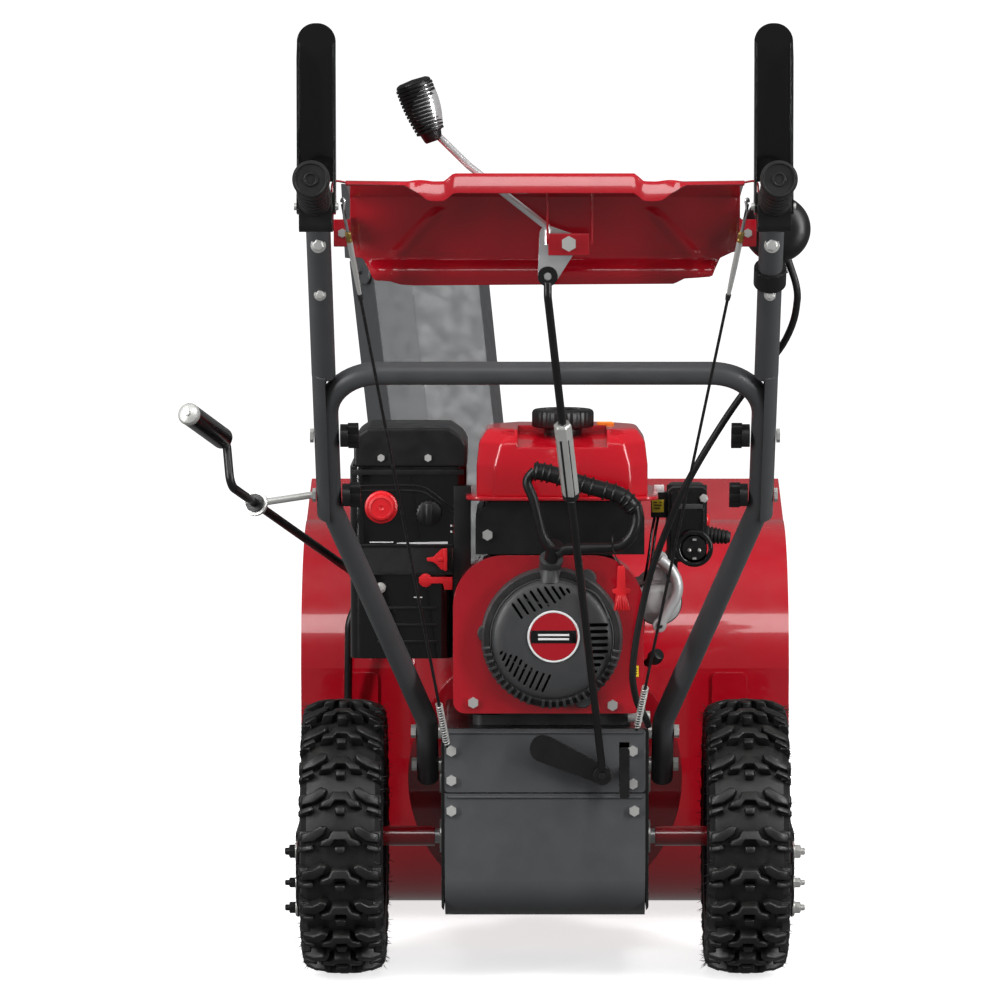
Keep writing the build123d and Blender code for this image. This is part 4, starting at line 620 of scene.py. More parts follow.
# The pull handle: a flat ribbed bar on thin legs.
plane_y = (low.y + high.y) / 2 - 0.004
corner = {"top": Vector((low.x + 0.004, plane_y, high.z - 0.004)),
    "right": Vector((high.x - 0.005, plane_y, low.z + 0.062)),
    "heel": Vector((high.x - 0.016, plane_y, low.z + 0.018)),
    "neck": Vector((low.x + 0.037, plane_y + 0.006, low.z + 0.008))}
loop = [corner["neck"] + Vector((-0.002, 0, 0.006)), corner["neck"] + Vector((-0.014, 0, 0.022)),
    corner["top"] + Vector((0.009, 0, -0.038)), corner["top"] + Vector((0.001, 0, -0.016)),
    corner["top"] + Vector((0.01, 0, -0.003))]
grip = [corner["top"] + Vector((0.008, 0, -0.003)), corner["top"] + Vector((0.030, 0, -0.007)),
    corner["top"] + Vector((0.070, 0, -0.020)), corner["right"] + Vector((-0.020, 0, 0.015)),
    corner["right"] + Vector((-0.003, 0, -0.002))]
back = [corner["right"] + Vector((-0.003, 0, 0.002)), corner["right"] + Vector((-0.001, 0, -0.014)),
    corner["heel"] + Vector((0.004, 0, 0.012)), corner["heel"] + Vector((-0.010, 0, 0.0)),
    corner["heel"] + Vector((-0.040, 0, -0.002)), corner["neck"] + Vector((0.014, 0, 0.006)),
    corner["neck"] + Vector((0.002, 0, 0.0))]
d_loop = piece("pull_handle", [tube(loop, 0.0058, 14, smooth=5), tube(back, 0.0062, 14, smooth=5),
    tube(grip, 0.0098, 16, smooth=5, flat=((0, 1, 0), 1.15)),
    tube([corner["neck"] + Vector((0.001, 0, 0.012)), neck - toward * 0.014], lambda t: 0.0098 - 0.002 * t,
    16)], PLASTIC, "recoil_handle")
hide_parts("recoil_handle")
spine = eased([Vector(p) for p in grip], 8)
bands = []
for k in range(12):
    i = 2 + round(k * (len(spine) - 5) / 11)
    ahead = (spine[min(i + 1, len(spine) - 1)] - spine[i - 1]).normalized()
    outer = turned([(0.0, -0.0012), (0.0112, -0.0012), (0.0118, 0.0), (0.0112, 0.0012), (0.0, 0.0012)],
        (0, 0, 0), (1, 0, 0), 18)
    spin = ahead.to_track_quat("X", "Z").to_matrix()
    bands.append(([spine[i] + spin @ Vector((p.x, p.y * 1.14, p.z)) for p in outer[0]], outer[1]))
piece("pull_handle_ribs", bands, PLASTIC, "recoil_handle")
# Rope between boss and handle, drawn as a straight tube on no body.
rope_points = [boss + toward * 0.008 + (neck - toward * 0.01 - boss - toward * 0.008) * (k / 24)
    for k in range(25)]
rope = piece("starter_rope", tube(rope_points, 0.0021, 10), RUBBER)
rope.parent = None
del rope["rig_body"]
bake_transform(rope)

# The red safety key hangs from the handle on a thin cord.
knot = corner["heel"] + Vector((-0.018, -0.007, 0.0))
key_top = knot + Vector((0.01, -0.001, -0.026))
piece("key_string", tube([knot + Vector((0, 0.004, 0.006)), knot, knot + Vector((0.003, -0.002, -0.01)),
    key_top + Vector((0, 0, 0.002))], 0.0007, 6, smooth=5), RUBBER, "recoil_handle")
piece("key_string_loop", tube([knot + Vector((0, 0.007 * math.sin(a),
    0.0065 + 0.0075 * math.cos(a))) for a in [2 * math.pi * k / 16 for k in range(16)]], 0.0007, 6,
    closed=True), RUBBER, "recoil_handle")
shank = [(-0.0045, 0.0), (-0.0035, 0.004), (0.0035, 0.004), (0.0045, 0.0), (0.0052, -0.022),
    (0.011, -0.0235), (0.011, -0.0275), (0.006, -0.0285), (0.0115, -0.048), (-0.0085, -0.048),
    (-0.006, -0.0285), (-0.01, -0.0275), (-0.01, -0.0235), (-0.005, -0.022)]
key = slab(shank, key_top + Vector((0, 0.002, 0)), ACROSS, UP, 0.0045)
key_ribs = [tube([key_top + Vector((x * 0.5, -0.0035, -0.03)), key_top + Vector((x, -0.0035, -0.047))],
    0.0011, 6) for x in (-0.0065, -0.0035, -0.0002, 0.0032, 0.0066, 0.0095)]
piece("safety_key", [key, *key_ribs], PLASTIC_RED, "recoil_handle", bevel=0.0006)

# ---------------------------------------------------------------- dash
def skin(columns, rows, place, thickness):
    """A thin sheet over a grid; place(u, v) gives a point, and it is thickened along its own normal."""
    grid = [[Vector(place(u / columns, v / rows)) for u in range(columns + 1)] for v in range(rows + 1)]
    verts, faces = [], []
    for level in (0.5, -0.5):
        for v in range(rows + 1):
            for u in range(columns + 1):
                du = grid[v][min(u + 1, columns)] - grid[v][max(u - 1, 0)]
                dv = grid[min(v + 1, rows)][u] - grid[max(v - 1, 0)][u]
                verts.append(grid[v][u] + du.cross(dv).normalized() * thickness * level)
    wide = columns + 1
    size = wide * (rows + 1)
    for v in range(rows):
        for u in range(columns):
            a = v * wide + u
            faces.append((a, a + 1, a + wide + 1, a + wide))
            faces.append((size + a + wide, size + a + wide + 1, size + a + 1, size + a))
    rim = [(0, u) for u in range(columns + 1)] + [(v, columns) for v in range(1, rows + 1)]
    rim += [(rows, u) for u in range(columns - 1, -1, -1)] + [(v, 0) for v in range(rows - 1, 0, -1)]
    for i, (v, u) in enumerate(rim):
        w, t = rim[(i + 1) % len(rim)]
        a, b = v * wide + u, w * wide + t
        faces.append((a, size + a, size + b, b))
    return verts, faces


def between(value, table):
    """Straight-line interpolation in (place, value) pairs."""
    if value <= table[0][0]:
        return table[0][1]
    for (a, x), (b, y) in zip(table, table[1:]):
        if value <= b:
            return x + (y - x) * (value - a) / (b - a)
    return table[-1][1]


def hump(value, centre, width):
    """A smooth bump of height 1."""
    t = abs(value - centre) / width
    return 0 if t >= 1 else (1 - t * t) ** 2


DASH_HALF = 0.2165
low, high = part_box("dash_panel")
front, back = high.y, low.y
apron_foot = [(-0.217, 0.031), (-0.202, 0.029), (-0.19, 0.005), (-0.172, 0.004), (-0.16, 0.0),
    (-0.145, -0.001), (0.143, 0.001), (0.155, 0.007), (0.185, 0.009), (0.194, 0.029), (0.209, 0.036),
    (0.217, 0.036)]


def apron(u, v):
    """The hanging front sheet, with slanted creases and a rolled foot."""
    x = -DASH_HALF + 2 * DASH_HALF * u
    foot = low.z + between(x, apron_foot)
    top = high.z - 0.0245
    z = top + (foot - top) * v
    crease = 0.0
    for side in (-1, 1):
        line = side * (0.118 + 0.048 * min(1.0, max(0.0, (top - 0.018 - z) / 0.052)))
        crease += 0.0022 * hump(x, line, 0.013) * min(1, max(0, (top - 0.016 - z) / 0.01))
    roll = 0.0065 * hump(z, low.z + 0.013, 0.015) - 0.002 * hump(z, low.z + 0.03, 0.008)
    roll *= min(1, max(0, (0.205 - abs(x)) / 0.02))
    return x, front - 0.004 - crease - roll, z


def top_sheet(u, v):
    """The top, which falls towards the front, with its raised middle and dropped rear lip."""
    x = -DASH_HALF + 2 * DASH_HALF * u
    y = back + (front - 0.004 - back) * v
    z = high.z - 0.008 - 0.02 * v
    raised = between(abs(x + 0.001), [(0.0, 0.0085), (0.098, 0.0085), (0.108, 0.0), (0.13, -0.0006),
        (0.217, 0.0005)])
    raised += 0.0018 * hump(abs(x), 0.135, 0.016)
    ends = min(1, max(0, (0.97 - v) / 0.1))
    z += raised * ends
    dropped = between(abs(x), [(0.0, 1.0), (0.128, 1.0), (0.152, 0.0), (0.217, 0.0)])
    lip = max(0.0, 1 - v / 0.035)
    z -= (0.013 * dropped + 0.0045 * (1 - dropped)) * lip ** 1.5 + 0.0085 * dropped * lip ** 1.5
    return x, y, z


slot_cut = slab(rounded(0.166, 0.017, 0.008), (-0.038, back + 0.05, high.z - 0.05), ACROSS, (0, 1, 0), 0.1)
panel = piece("dash_top", skin(130, 44, top_sheet, 0.0022), RED, cut=[slot_cut])
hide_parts("dash_panel")
piece("dash_apron", skin(140, 60, apron, 0.0022), RED)
lever_low, lever_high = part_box("shift_lever")
bolt_x, bolt_z = lever_high.x - 0.011, lever_low.z + 0.047
cheek = [(0.0, 0.0), (0.026, 0.0), (0.026, -0.052), (0.0, -0.066)]
bracket = [slab(cheek, (bolt_x + x, back + 0.036, high.z - 0.012), (0, 1, 0), UP,
    0.0022) for x in (-0.0245, 0.0245)]
bracket += [block((bolt_x, back + y, bolt_z - 0.001), (0.045, 0.0025, 0.024)) for y in (0.0372, 0.0626)]
piece("lever_bracket", bracket, RED, bevel=0.0006, segments=1)
tabs = []
for side in (-1, 1):
    tabs.append(block((side * 0.222, back + 0.049, low.z + 0.06), (0.019, 0.0025, 0.03)))
    tabs.append(tube([(side * 0.214, back + 0.004, high.z - 0.01),
        (side * 0.228, back + 0.003, high.z - 0.008), (side * 0.2315, back + 0.003, high.z - 0.016),
        (side * 0.2315, back + 0.003, high.z - 0.04)], 0.0014, 8, smooth=4))
    tabs.append(block((side * 0.215, front - 0.036, low.z + 0.06), (0.0025, 0.07, 0.03)))
piece("dash_tabs", tabs, RED, bevel=0.0005, segments=1)

# ---------------------------------------------------------------- shift lever and rod
knob_foot = Vector((lever_low.x + 0.034, (lever_low.y + lever_high.y) / 2, lever_high.z - 0.061))
knob_up = Vector((-20, 0, 56)).normalized()
profile = [(0.0, -0.01), (0.0085, -0.01), (0.01, -0.008), (0.012, 0.0)]
for k in range(13):
    z = 0.001 + 0.0042 * k
    wide = 0.0145 + 0.0062 * math.sin(min(1.0, (z + 0.004) / 0.048) * math.pi / 2)
    profile += [(wide, z), (wide + 0.0003, z + 0.0006), (wide, z + 0.003), (wide - 0.0014, z + 0.0034),
        (wide - 0.0014, z + 0.004)]
profile += [(0.02, 0.056), (0.0185, 0.0585), (0.015, 0.0602), (0.0, 0.0612)]
piece("shift_knob", turned(profile, knob_foot, knob_up, 40), PLASTIC, "shift_lever")
low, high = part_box("shift_rod")
rod_top = Vector((low.x + 0.011, low.y + 0.005, high.z - 0.011 - 0.022))
rod_low = Vector((high.x - 0.0125, high.y - 0.01, low.z + 0.032))
line = rod_low - rod_top
way = line.normalized()


def hexagon(start, length, radius):
    """A six-sided bar with chamfered ends."""
    return turned([(0.0, 0.0), (radius * 0.8, 0.0), (radius, 0.0025), (radius, length - 0.0025),
        (radius * 0.8, length), (0.0, length)], start, way, 6)


buckle = rod_top + line * 0.262
piece("turnbuckle", [hexagon(buckle, line.length * 0.150, 0.0102)], ZINC, "shift_rod", bevel=0.0006)
piece("turnbuckle_nuts", [hexagon(buckle + way * (line.length * 0.150 + 0.0005), 0.007, 0.0088)], ZINC,
    "shift_rod", bevel=0.0005)

# ---------------------------------------------------------------- control wires
COIL_STEPS = 14
COIL_TURNS = 16
for node, body, side in (("auger_wire", "auger_wire", -1), ("drive_wire", "drive_wire", 1)):
    low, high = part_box(node)
    top = Vector((side * (high.x - 0.0018 if side > 0 else -low.x - 0.0018), low.y + 0.0018,
        high.z - 0.0008))
    foot = Vector((side * (low.x + 0.0045 if side > 0 else -high.x - 0.0045), high.y - 0.004,
        low.z + 0.002))
    down = (foot - top).normalized()
    cable = piece(f"{node}_cable", tube([top, foot], 0.0018, 10), BLACK, body)
    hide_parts(node)
    piece(f"{node}_hook", tube([top + Vector((side * 0.001, 0.002, 0.003)), top + Vector((0.0, 0.0, 0.006)),
        top + Vector((-side * 0.002, -0.002, 0.004)), top + down * 0.006, top + down * 0.024,
        top + down * 0.04], 0.0018, 10, smooth=6), CHROME, body)
    piece(f"{node}_ferrule", turned([(0.0, 0.0), (0.003, 0.0), (0.0034, 0.0012), (0.0034, 0.0075),
        (0.003, 0.0085), (0.0034, 0.0095), (0.0034, 0.013), (0.0, 0.0135)], top + down * 0.036, down, 20),
        BRASS, body, bevel=0.0003)
    piece(f"{node}_sleeve", turned([(0.0, 0.0), (0.0031, 0.0), (0.0033, 0.003), (0.0031, 0.04),
        (0.0026, 0.062), (0.0022, 0.07), (0.0, 0.07)], top + down * 0.049, down, 20), ZINC, body)
    piece(f"{node}_seal", turned([(0.0, 0.0), (0.0027, 0.0), (0.0032, 0.002), (0.0026, 0.008),
        (0.0, 0.008)], top + down * 0.119, down, 16), RUBBER, body)
    length = (foot - top).length
    coil = []
    side_dir = down.orthogonal().normalized()
    cross = down.cross(side_dir)
    for k in range(COIL_STEPS * COIL_TURNS + 1):
        turn = 2 * math.pi * k / COIL_STEPS
        round_point = (side_dir * math.cos(turn) + cross * math.sin(turn)) * 0.0036
        coil.append(top + down * (length - 0.066 + 0.06 * k / (COIL_STEPS * COIL_TURNS)) + round_point)
    piece(f"{node}_spring", tube(coil, 0.0008, 6), ZINC, body)

# ---------------------------------------------------------------- fuel tank and cap
low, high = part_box("fuel_tank")
mid_x, mid_y = (low.x + high.x) / 2, (low.y + high.y) / 2


def octagon(width, depth, corner, z, shift=0.0):
    """A rectangle with cut corners at height z."""
    a, b = width / 2, depth / 2
    return [Vector((mid_x + shift + x, mid_y + y, z)) for x, y in ((a, corner - b), (a, b - corner),
        (a - corner, b), (corner - a, b), (-a, b - corner), (-a, corner - b), (corner - a, -b),
        (a - corner, -b))]


def stack(loops):
    """A closed skin through loops of equal length."""
    verts = [p for loop in loops for p in loop]
    n = len(loops[0])
    faces = [tuple(range(n - 1, -1, -1)), tuple((len(loops) - 1) * n + k for k in range(n))]
    for i in range(len(loops) - 1):
        faces += joined(i, i + 1, n)
    return verts, faces


body_loops = [octagon(0.2, 0.16, 0.02, low.z + 0.003), octagon(0.2, 0.159, 0.022, low.z + 0.04),
    octagon(0.194, 0.152, 0.026, low.z + 0.066), octagon(0.176, 0.134, 0.03, low.z + 0.0795),
    octagon(0.164, 0.12, 0.03, low.z + 0.0815)]
rear = low.y
scoops = [
    # A hollow in the middle that falls from the cap to the rear face, and steps either side of it.
    slab([(-0.02, 0.056), (0.065, 0.0715), (0.085, 0.0715), (0.085, 0.12), (-0.02, 0.12)],
         (mid_x - 0.052, rear, low.z), (0, 1, 0), UP, 0.104),
    *[slab([(-0.02, 0.07), (0.03, 0.0765), (0.03, 0.12), (-0.02, 0.12)],
           (mid_x + x, rear, low.z), (0, 1, 0), UP, 0.028) for x in (-0.084, 0.056)],
]
tank = piece("fuel_tank_shell", stack(body_loops), TANK_RED, bevel=0.003, segments=3, angle=12, cut=scoops)
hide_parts("fuel_tank")
soften = tank.modifiers.new("soften", "BEVEL")
soften.width = 0.0022
soften.segments = 2
soften.limit_method = "ANGLE"
soften.angle_limit = math.radians(25)
piece("fuel_tank_flange", slab(rounded(0.225, 0.172, 0.022, 5), (mid_x, mid_y, low.z - 0.0005), ACROSS,
    (0, 1, 0), 0.0045), TANK_RED, bevel=0.0015)
cap = middle("fuel_cap")
cap_low, cap_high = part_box("fuel_cap")
cap_levels = [(0.96, cap_low.z + 0.0105), (1.0, cap_low.z + 0.0125), (1.0, cap_high.z - 0.004),
    (0.965, cap_high.z - 0.0012), (0.9, cap_high.z), (0.8, cap_high.z + 0.0004), (0.6, cap_high.z - 0.0016)]


def ridged(count, outer, inner, share):
    """Points round a ridged rim, as pairs: two on a ridge, then two in a groove."""
    rim = [outer if k % 4 < 2 else inner for k in range(count)]
    return [(r * share * math.cos(2 * math.pi * k / count), r * share * math.sin(2 * math.pi * k / count))
        for k, r in enumerate(rim)]


cap_loops = [[Vector((cap.x + x, cap.y + y, z)) for x, y in ridged(120, 0.0364, 0.0355, share)] for share,
    z in cap_levels]
cover = piece("fuel_cap_shell", [stack(cap_loops), block((cap.x, cap.y, cap_high.z - 0.0005),
    (0.04, 0.007, 0.004)), turned([(0.0, 0.0), (0.022, 0.0), (0.022, 0.011), (0.0, 0.011)],
    (cap.x, cap.y, cap_low.z), UP, 40)], PLASTIC, "fuel_cap", bevel=0.0004, segments=1, angle=50)
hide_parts("fuel_cap")
piece("tank_tag", slab([(-0.012, -0.002), (0.006, -0.002), (0.009, 0.0), (0.006, 0.002), (-0.012, 0.002)],
    (cap.x + 0.052, cap.y + 0.03, high.z + 0.0005), ACROSS, UP, 0.012), ORANGE, bevel=0.0005, segments=1)

# ---------------------------------------------------------------- carburettor cover
low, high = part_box("carb_cover_lid")
lid_wide = high.x - low.x
lid_outline = [(-lid_wide / 2, 0.0), (lid_wide / 2, 0.0), (lid_wide / 2, 0.026),
    (lid_wide / 2 - 0.006, 0.036), (lid_wide / 2 - 0.02, 0.046), (-lid_wide / 2 + 0.016, 0.046),
    (-lid_wide / 2 + 0.004, 0.038), (-lid_wide / 2, 0.03)]
lid = piece("carb_lid_shell", slab(lid_outline, ((low.x + high.x) / 2, low.y - 0.0005, low.z - 0.0005),
    ACROSS, UP, -0.135), PLASTIC, bevel=0.0055, segments=4, angle=20)
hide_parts("carb_cover_lid")
low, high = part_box("carb_cover")
face = low.y
trim = []
# Raised lines round the panel, which step down on its right, and a ledge under the lid.
steps = ((low.x + 0.01, 0.022), (high.x - 0.06, 0.022), (high.x - 0.04, 0.03), (high.x - 0.022, 0.044),
    (high.x - 0.006, 0.05))
for inset in (0.0, 0.006):
    trim.append(tube([(x, face - 0.0004, high.z - drop - inset) for x, drop in steps], 0.0013, 8, smooth=5))
trim.append(block(((low.x + high.x) / 2, face - 0.001, high.z - 0.006),
    (high.x - low.x - 0.006, 0.004, 0.006)))
trim.append(block((high.x - 0.005, face + 0.004, low.z + 0.149), (0.02, 0.016, 0.11)))
piece("carb_cover_trim", trim, PLASTIC, bevel=0.0008, segments=2)
# A sunk channel behind the two red levers, drawn by its raised frame and by a dark sheet on the face as its
# floor, which is painted shade for its depth.
frame_bars = []
for z in (low.z + 0.134, low.z + 0.1005):
    frame_bars.append(block((high.x - 0.072, face - 0.001, z), (0.112, 0.004, 0.003)))
frame_bars.append(block((high.x - 0.128, face - 0.001, low.z + 0.117), (0.003, 0.004, 0.036)))
piece("lever_channel", frame_bars, PLASTIC, bevel=0.0008, segments=2)
piece("lever_channel_painted_shade", block((high.x - 0.072, face - 0.0002, low.z + 0.117), (0.11, 0.0012, 0.03)),
    SHADE_AND_PRINT_BLACK)
# Generic printed marks: a line that grows thicker, and small squares.
marks = [slab([(-0.03, -0.0004), (0.03, -0.0018), (0.03, 0.0018), (-0.03, 0.0004)],
    (high.x - 0.052, face - 0.0004, low.z + 0.1365), ACROSS, UP, 0.0005),
    slab([(-0.014, -0.0006), (0.014, -0.0006), (0.014, 0.0006), (-0.014, 0.0006)],
    (high.x - 0.1, face - 0.0004, low.z + 0.1375), ACROSS, UP, 0.0005)]
for k in range(2):
    marks.append(block((high.x - 0.018, face - 0.0006, low.z + 0.15 + 0.007 * k), (0.0022, 0.0006, 0.0022)))
    marks.append(block((high.x - 0.06 + 0.006 * k, face - 0.0006, low.z + 0.0725), (0.004, 0.0006, 0.0012)))
piece("printed_marks", marks, WHITE)
red_marks = [block((high.x - 0.013, face - 0.0006, low.z + 0.15 + 0.007 * k),
    (0.0045, 0.0006, 0.004)) for k in range(2)]
piece("printed_red_marks", red_marks, PLASTIC_RED)
ribs = [block((high.x - 0.07, face - 0.0012, low.z + 0.02 + 0.02 * k),
    (0.07, 0.004, 0.0035)) for k in range(3)]
piece("carb_cover_ribs", ribs, PLASTIC, bevel=0.001)
screw = Vector((high.x - 0.101, face - 0.001, low.z + 0.084))
piece("carb_screw", [turned([(0.0, 0.0), (0.0062, 0.0), (0.0062, 0.0012), (0.0, 0.0012)], screw, REAR, 24),
    turned([(0.0, 0.0012), (0.0048, 0.0012), (0.0048, 0.004), (0.0036, 0.005), (0.0, 0.005)], screw, REAR,
    6)], ZINC)
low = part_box("primer_bulb")[0]
bulb = middle("primer_bulb")
dome = piece("primer_dome", turned([(0.0, -0.006), (0.0134, -0.006), (0.0136, 0.0), (0.019, 0.0),
    (0.0194, 0.0018), (0.019, 0.0035), (0.0168, 0.0048), (0.016, 0.009), (0.0146, 0.0112), (0.0118, 0.0122),
    (0.0112, 0.0114), (0.006, 0.0112), (0.003, 0.0116), (0.0016, 0.0108), (0.0, 0.0106)],
    (bulb.x, low.y + 0.0128, bulb.z), REAR, 48), PLASTIC_RED, "primer_bulb")
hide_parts("primer_bulb")
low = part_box("throttle_lever")[0]
paddle = [(-0.0155, -0.002), (-0.0155, 0.002), (-0.008, 0.0028), (-0.003, 0.008), (0.002, 0.0125),
    (0.0075, 0.013), (0.0085, 0.008), (0.0085, -0.008), (0.0075, -0.013), (0.001, -0.012), (-0.004, -0.006),
    (-0.009, -0.003)]
throttle_mid = middle("throttle_lever")
throttle = piece("throttle_paddle", [slab(paddle, (throttle_mid.x - 0.001, low.y + 0.013, throttle_mid.z),
    ACROSS, UP, 0.0035), slab([(0.0045, -0.013), (0.0085, -0.013), (0.0085, 0.013), (0.0045, 0.013)],
    (throttle_mid.x - 0.001, low.y + 0.013, throttle_mid.z), ACROSS, UP, 0.011),
    block((throttle_mid.x, low.y + 0.026, throttle_mid.z), (0.007, 0.036, 0.004))], PLASTIC_RED,
    "throttle_lever", bevel=0.0009)
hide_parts("throttle_lever")
low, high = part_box("fuel_valve")
valve_mid = middle("fuel_valve")
valve = piece("fuel_valve_lever", [turned([(0.0, -0.014), (0.004, -0.014), (0.004, 0.0), (0.008, 0.0),
    (0.008, 0.007), (0.0, 0.0078)], (low.x + 0.008, high.y - 0.014, valve_mid.z), REAR, 24),
    slab([(-0.006, -0.0035), (0.022, -0.0035), (0.024, -0.011), (0.0335, -0.011), (0.0335, 0.004),
    (-0.006, 0.004)], (low.x + 0.006, low.y + 0.006, valve_mid.z), ACROSS, UP, 0.0055)], PLASTIC_RED,
    "fuel_valve", bevel=0.0009)
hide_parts("fuel_valve")
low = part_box("choke_knob")[0]
choke_mid = middle("choke_knob")
choke_loops = [[Vector((choke_mid.x + x, y, choke_mid.z + z)) for x,
    z in ridged(72, 0.0152, 0.0144, share)] for share, y in ((1.0, low.y + 0.0168), (1.0, low.y + 0.0105),
    (0.94, low.y + 0.0095))]
choke = piece("choke_dial", [stack(choke_loops), block((choke_mid.x, low.y + 0.0062, choke_mid.z),
    (0.007, 0.01, 0.025)), turned([(0.0, 0.0), (0.004, 0.0), (0.004, 0.014), (0.0, 0.014)],
    (choke_mid.x, low.y + 0.0168, choke_mid.z), (0, 1, 0), 20)], PLASTIC, "choke_knob", bevel=0.0008,
    segments=1, angle=50)
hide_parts("choke_knob")

# ---------------------------------------------------------------- right side: starter, switch box and inlet
low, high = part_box("electric_starter")
face = low.y + 0.006
box_x, box_right = high.x - 0.006 - 0.023, high.x - 0.006
front_plate = slab(rounded(0.04, 0.082, 0.006), (box_x, face, high.z - 0.044), ACROSS, UP, 0.0025)
piece("switch_box_front", front_plate, GLOSS, bevel=0.0012)
piece("switch_box_band", block((box_x, face - 0.003, high.z - 0.022), (0.036, 0.0015, 0.006)), COVER_GREY,
    bevel=0.0005)
piece("switch_box_seam", [block((box_x, face + 0.03, high.z - 0.044), (0.0475, 0.0015, 0.0895)),
    block((box_x - 0.0235, face + 0.04, high.z - 0.044), (0.0015, 0.06, 0.01))], PLASTIC, bevel=0.0004)
inlet = Vector((high.x - 0.021, low.y - 0.0005, high.z - 0.071))
socket = [turned([(0.0165, 0.0), (0.0215, 0.0), (0.0222, 0.001), (0.0222, 0.0035), (0.0205, 0.005),
    (0.0178, 0.005), (0.0165, 0.004)], inlet, REAR, 48)]
piece("inlet_rim", socket, GLOSS, bevel=0.0004)
piece("inlet_core", turned([(0.0, -0.004), (0.015, -0.004), (0.015, 0.001), (0.014, 0.0022), (0.0, 0.0022)],
    inlet, REAR, 40), PLASTIC)
pins = []
for x, z in ((-0.0058, -0.002), (0.0058, -0.002)):
    pins.append(turned([(0.0, 0.0), (0.0021, 0.0), (0.0021, 0.0085), (0.0014, 0.01), (0.0, 0.0104)],
        inlet + Vector((x, 0, z)), REAR, 16))
for z in (0.0105, -0.0118):
    pins.append(block(inlet + Vector((0.0, -0.0045, z)), (0.0045, 0.007, 0.002)))
piece("inlet_pins", pins, ZINC, bevel=0.0003)
piece("box_screw", [turned([(0.0, 0.0), (0.0052, 0.0), (0.0056, 0.0014), (0.0048, 0.0034), (0.0, 0.004)],
    (box_right - 0.004, face - 0.0025, high.z - 0.0125), REAR, 6)], ZINC)
button = middle("start_button")
cap_node = piece("start_button_cap", turned([(0.0, -0.0074), (0.008, -0.0074), (0.0088, -0.006),
    (0.0088, 0.002), (0.0078, 0.005), (0.0052, 0.007), (0.0, 0.0076)], button, ACROSS, 36), PLASTIC_RED,
    "start_button")
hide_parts("start_button")
boot = [(0.0, 0.0)]
for k in range(6):
    boot += [(0.0108 - 0.0005 * k, 0.0045 * k), (0.0108 - 0.0005 * k, 0.0045 * k + 0.0026),
        (0.0088 - 0.0004 * k, 0.0045 * k + 0.003), (0.0088 - 0.0004 * k, 0.0045 * k + 0.0042)]
boot += [(0.006, 0.0285), (0.0, 0.029)]
piece("starter_boot", turned(boot, (box_right, face + 0.024, high.z - 0.058),
    Vector((1, 0, -0.12)).normalized(), 28), RUBBER, bevel=0.0003)
motor = Vector((low.x + 0.037, low.y + 0.0015, high.z - 0.135))
piece("motor_end", [turned([(0.0, 0.0), (0.0262, 0.0), (0.027, 0.0012), (0.0262, 0.003), (0.02, 0.004),
    (0.015, 0.0075), (0.01, 0.008), (0.0, 0.008)], motor, REAR, 48)], ALLOY, bevel=0.0005)
piece("motor_bolts", [turned([(0.0, 0.0), (0.0036, 0.0), (0.0036, 0.0024), (0.0028, 0.003), (0.0, 0.003)],
    motor + Vector((x, -0.0032, z)), REAR, 6) for x, z in ((0.0195, 0.0095), (-0.0195, -0.0095))], ZINC)
arm = [(0.001, 0.052), (0.014, 0.04), (0.0215, 0.024), (0.02, 0.008), (0.011, -0.008), (0.001, -0.026)]
arm_line = eased([motor + Vector((x, -0.014, z)) for x, z in arm], 6)
piece("motor_arm", [tube(arm_line, 0.0068, 16), turned([(0.0035, 0.0), (0.0082, 0.0), (0.0082, 0.009),
    (0.0035, 0.009)], motor + Vector((0.001, -0.0095, -0.026)), REAR, 28),
    turned([(0.0, 0.0), (0.0095, 0.0), (0.0095, 0.011), (0.0, 0.011)],
    motor + Vector((0.001, -0.006, 0.052)), REAR, 24)], ALLOY, bevel=0.0008)
piece("motor_arm_pin", turned([(0.0, 0.0), (0.0034, 0.0), (0.0034, 0.012), (0.0, 0.0122)],
    motor + Vector((0.001, -0.0085, -0.026)), REAR, 18), SHADE_AND_PRINT_BLACK)
piece("relay", [block(motor + Vector((-0.0005, 0.002, 0.034)), (0.019, 0.016, 0.024)),
    block(motor + Vector((-0.0005, -0.0075, 0.034)), (0.013, 0.003, 0.016))], ALLOY, bevel=0.0012)
tag = Vector((low.x + 0.0335, face + 0.02, high.z - 0.0225))
piece("terminal_box", block(tag + Vector((0.006, 0.01, 0)), (0.022, 0.02, 0.03)), PLASTIC, bevel=0.001)
piece("terminal_label", block(tag + Vector((0.003, -0.0005, -0.001)), (0.0145, 0.001, 0.015)), YELLOW)
piece("terminal_label_marks", [block(tag + Vector((0.003 + x, -0.0012, z)), (w, 0.0006, 0.0012)) for x, z,
    w in ((-0.003, 0.0035, 0.004), (0.003, 0.0035, 0.003), (0.0, 0.0, 0.009), (-0.001, -0.0035, 0.007))],
    SHADE_AND_PRINT_BLACK)
piece("terminal_cap", block(tag + Vector((0.0045, 0.008, 0.0185)), (0.012, 0.014, 0.009)), WHITE,
    bevel=0.0012)
leads = []
for x, dz in ((0.000, 0.0), (0.004, -0.002)):
    leads.append(tube(eased([tag + Vector((x, 0.006, -0.012)),
        tag + Vector((x - 0.004, -0.006, -0.03 + dz)), tag + Vector((x - 0.008, -0.01, -0.06 + dz)),
        tag + Vector((x - 0.014, 0.002, -0.1)), tag + Vector((x - 0.018, 0.02, -0.15)),
        tag + Vector((x - 0.02, 0.03, -0.185))], 6), 0.0017, 8))
piece("starter_leads", leads, PLASTIC)

